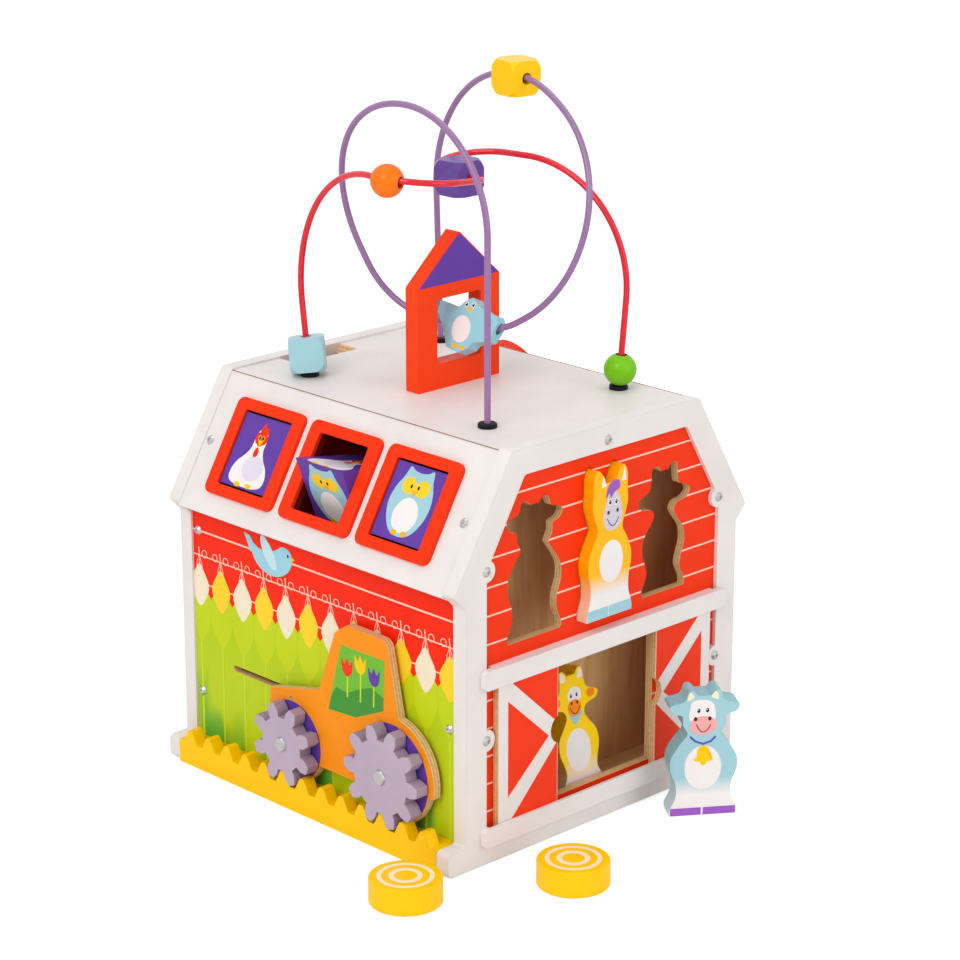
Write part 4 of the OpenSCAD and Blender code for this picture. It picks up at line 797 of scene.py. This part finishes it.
goat.art("goat_belly", ink("white", INK_WHITE), [oval(-1.2, 30.2, 12.4, 15.8)], slot="white_paint")
goat.art("goat_face", ink("white", INK_WHITE), [oval(1.1, 70.4, 6.9, 6.0)], 1, slot="white_paint")
goat.art("goat_beard", ink("hoof_blue", BLUE), [blob([(-6.3, 58.3), (0, 60), (7.4, 57.6),
                                                      (3.6, 52.4), (-1.2, 48.8), (-4.4, 53)])], 1,
         slot="blue_paint")
goat.art("goat_muzzle", ink("muzzle_orange", MUZZLE_ORANGE), [oval(-0.1, 61.3, 6.7, 6.1)], 2,
         slot="orange_paint")
goat.art("goat_mouth", ink("dark_line", DARK_LINE), smile((-4.9, 62.3), (-0.4, 57), (5.1, 61.4),
                                                          0.65), 3, slot="red_paint")
goat.art("goat_nostrils", ink("dark_line", DARK_LINE), [oval(-2.6, 65.0, 1.0, 1.2),
                                                        oval(3.1, 64.7, 1.0, 1.2)], 3,
         slot="red_paint")
eyes(goat, "goat", [(-2.4, 70.4), (3.3, 70.4)], 1.0, 1.5, 3)
goat.art("goat_ears", ink("muzzle_orange", MUZZLE_ORANGE),
         [blob([(-13.4, 69.4), (-17, 71.6), (-21.4, 69.6), (-20.4, 66), (-15, 65.4)]),
          blob([(13.4, 69.4), (17, 71.6), (21.4, 69.6), (20.4, 66), (15, 65.4)])], 1,
         slot="orange_paint")
goat.art("goat_horns", ink("white", INK_WHITE), [blob([(-9.5, 89.0), (-10.8, 82.6), (-6.2, 82.2),
                                                       (-7, 86.6)]),
                                                 blob([(10.2, 88.6), (11.2, 82.4), (5.8, 82),
                                                       (7.4, 86.4)])], 1, slot="white_paint")


COW_RIGHT = (0.8153, -0.579, 0)
COW_HALF = 23.8
cow_middle = (31.1 + COW_HALF * COW_RIGHT[0], -176.5 + COW_HALF * COW_RIGHT[1], 0)
dress("cow", animal_paint("cow_paint", (-0.579, -0.8153, 0), BLUE, BLUE_SIDE, 15.0, 28.0, 0.0))
cow = Face("cow", "blue_paint", cow_middle, COW_RIGHT, Z)
cow.art("cow_belly", ink("white", INK_WHITE), [oval(-1.2, 35, 12.8, 16)], slot="white_paint")
cow.art("cow_face", ink("white", INK_WHITE), [blob([(-10.4, 80), (-9.2, 83.2), (-4, 84.4),
                                                    (2, 83.6), (5.8, 80), (6.4, 70), (-1.6, 66),
                                                    (-11, 70)])], 1, slot="white_paint")
cow.art("cow_muzzle", ink("pink", seen(238, 168, 166)), [oval(-1.5, 65.8, 9.4, 6.8)], 2,
        slot="red_paint")
cow.art("cow_horns", ink("horn_cream", CREAM), [blob([(-11.3, 89.8), (-12.8, 84.1), (-8.5, 85.6),
                                                      (-8.9, 88.4)]),
                                                blob([(6.6, 90.2), (3.9, 86.4), (8.3, 84.3),
                                                      (8.4, 87.6)])], 1, slot="white_paint")
eyes(cow, "cow", [(-4.9, 76.6), (1.1, 76.7)])
cow.art("cow_smile", ink("dark_line", DARK_LINE), smile((-6.4, 66.7), (-1.7, 60.9), (3.5, 66.1),
                                                        0.65), 3, slot="red_paint")
cow.art("cow_nostrils", ink("dark_line", DARK_LINE), [oval(-7, 70.6, 1.3, 1.5),
                                                      oval(2.8, 70.6, 1.3, 1.5)], 3,
        slot="red_paint")
cow.art("cow_collar", ink("collar_purple", seen(92, 84, 184)),
        stroke([(-10.6, 58), (-7, 54.4), (-1.5, 52.2), (4, 54), (7.1, 57.4)], 1.4), 3,
        slot="purple_paint")
cow.art("cow_bell", ink("yellow", YELLOW), [blob([(-1.2, 51), (2.4, 49), (3.4, 43), (5.4, 40.2),
                                                  (-1.2, 39), (-7.6, 40.2), (-5.6, 43),
                                                  (-4.8, 49)]), oval(-1.2, 38.6, 2)], 4,
        slot="yellow_paint")
cow.art("cow_hooves", ink("light_purple", LIGHT_PURPLE), [[(-23.4, 0.2), (-2.0, 0.2), (-2.0, 5.6),
                                                           (-23.4, 5.6)],
                                                          [(-0.6, 0.2), (22.0, 0.2), (22.0, 5.6),
                                                           (-0.6, 5.6)]], 2, slot="purple_paint")

# Hay bales: cream rings printed on the yellow ends
for number, (bx, by) in ((1, (-186.5, -146.8)), (2, (-90.8, -203.3))):
    node = "hay_bale_%d" % number
    dress(node, paint("bale_yellow_%d" % number, YELLOW, rough=0.4, coat=0.1))
    top = Face(node, "yellow_paint", (bx, by, 17.6), X, Y)
    rings = ring(0, 0, 17.15, 2.9, 64) + ring(0, 0, 9.25, 3.5, 48)
    top.art(node + "_rings", ink("cream", CREAM), rings, slot="white_paint")

# Bird bead
dress("bird_bead", paint("bird_bead_blue", seen(150, 206, 220), rough=0.34, coat=0.25))
BIRD_WAY = Vector((0.27567, -0.96125, 0))
BIRD_FLAT = Vector((-0.96125, -0.27567, 0))
BIRD_TILT = math.radians(22)
bird_up = math.cos(BIRD_TILT) * Vector(Z) - math.sin(BIRD_TILT) * BIRD_FLAT
bird_out = BIRD_WAY.cross(bird_up)
bird = Face("bird_bead", "blue_paint", Vector((6.78, -7.741, 318.696)) + 6.5 * bird_out, BIRD_WAY,
            bird_up)
bird.art("bead_bird_belly", ink("white", INK_WHITE), [oval(-3.6, -4, 7.2, 9.4)], slot="white_paint")
bird.art("bead_bird_beak", ink("beak", BEAK), [[(-2.4, 11), (2.6, 11), (0.1, 7.4)]], 2,
         slot="yellow_paint")
bird.art("bead_bird_feet", ink("beak", BEAK), [oval(-6.4, -16, 2.2, 1.5),
                                               oval(-0.6, -16.6, 2.2, 1.5)], 2, slot="yellow_paint")
eyes(bird, "bead_bird", [(-2.6, 13.2), (2.6, 13.2)], 0.9, 1.3, 2)

# ---------- floor and light ----------

# Metres: the floor reaches far out, a hair below the feet
FLOOR_HALF, FLOOR_DROP = 9.0, 0.0003
FLOOR_GLOW = 0.42
SKY_LIGHT, SKY_SEEN = 0.56, 1.0
floor_mesh = bpy.data.meshes.new("floor")
corners = [(x * FLOOR_HALF, y * FLOOR_HALF, -FLOOR_DROP) for x,
           y in ((-1, -1), (1, -1), (1, 1), (-1, 1))]
floor_mesh.from_pydata(corners, [], [(0, 1, 2, 3)])
floor = bpy.data.objects.new("floor", floor_mesh)
bpy.context.collection.objects.link(floor)
floor_look = Shader("floor_white")
floor_look.finish(seen(250, 250, 250), rough=0.8, bump=0.0, bevel=0.0, vary=0.0)
floor_look.bsdf.inputs["Specular IOR Level"].default_value = 0.05
glow = floor_look.add("ShaderNodeEmission")
path = floor_look.add("ShaderNodeLightPath")
seen_by = floor_look.math("MULTIPLY", path.outputs["Is Camera Ray"], FLOOR_GLOW)
floor_look.join(seen_by, glow.inputs["Strength"])
total = floor_look.add("ShaderNodeAddShader")
floor_look.join(floor_look.bsdf.outputs[0], total.inputs[0])
floor_look.join(glow.outputs[0], total.inputs[1])
floor_look.join(total.outputs[0], floor_look.out.inputs["Surface"])
floor_mesh.materials.append(floor_look.mat)

world = bpy.data.worlds.new("studio")
bpy.context.scene.world = world
world.use_nodes = True
tree = world.node_tree
tree.nodes.clear()
sky_out = tree.nodes.new("ShaderNodeOutputWorld")
sky = tree.nodes.new("ShaderNodeBackground")
sky.inputs["Color"].default_value = (1, 1, 1, 1)
rays = tree.nodes.new("ShaderNodeLightPath")
shown = tree.nodes.new("ShaderNodeMath")
shown.operation = "MAXIMUM"
tree.links.new(rays.outputs["Is Camera Ray"], shown.inputs[0])
tree.links.new(rays.outputs["Is Glossy Ray"], shown.inputs[1])
level = tree.nodes.new("ShaderNodeMapRange")
tree.links.new(shown.outputs[0], level.inputs[0])
level.inputs[3].default_value = SKY_LIGHT
level.inputs[4].default_value = SKY_SEEN
tree.links.new(level.outputs[0], sky.inputs["Strength"])
tree.links.new(sky.outputs[0], sky_out.inputs["Surface"])


LIGHT_AIM = Vector((0, 0, 0.2))


def area(name, place, size, power):
    """A square lamp that looks at the barn's middle; metres and watts."""
    data = bpy.data.lights.new(name, "AREA")
    data.shape = "SQUARE"
    data.size = size
    data.energy = power
    light = bpy.data.objects.new(name, data)
    light.location = place
    light.rotation_euler = (LIGHT_AIM - Vector(place)).to_track_quat("-Z", "Y").to_euler()
    bpy.context.collection.objects.link(light)


for name, place, size, power in (
    ("key", (-1.9, -0.5, 1.7), 1.4, 25.5),
    ("fill", (0.5, -2.2, 1.0), 1.8, 14.0),
    ("top", (0.2, 0.3, 2.4), 1.8, 12.2),
):
    area(name, place, size, power)
bpy.context.scene.view_settings.view_transform = "Standard"
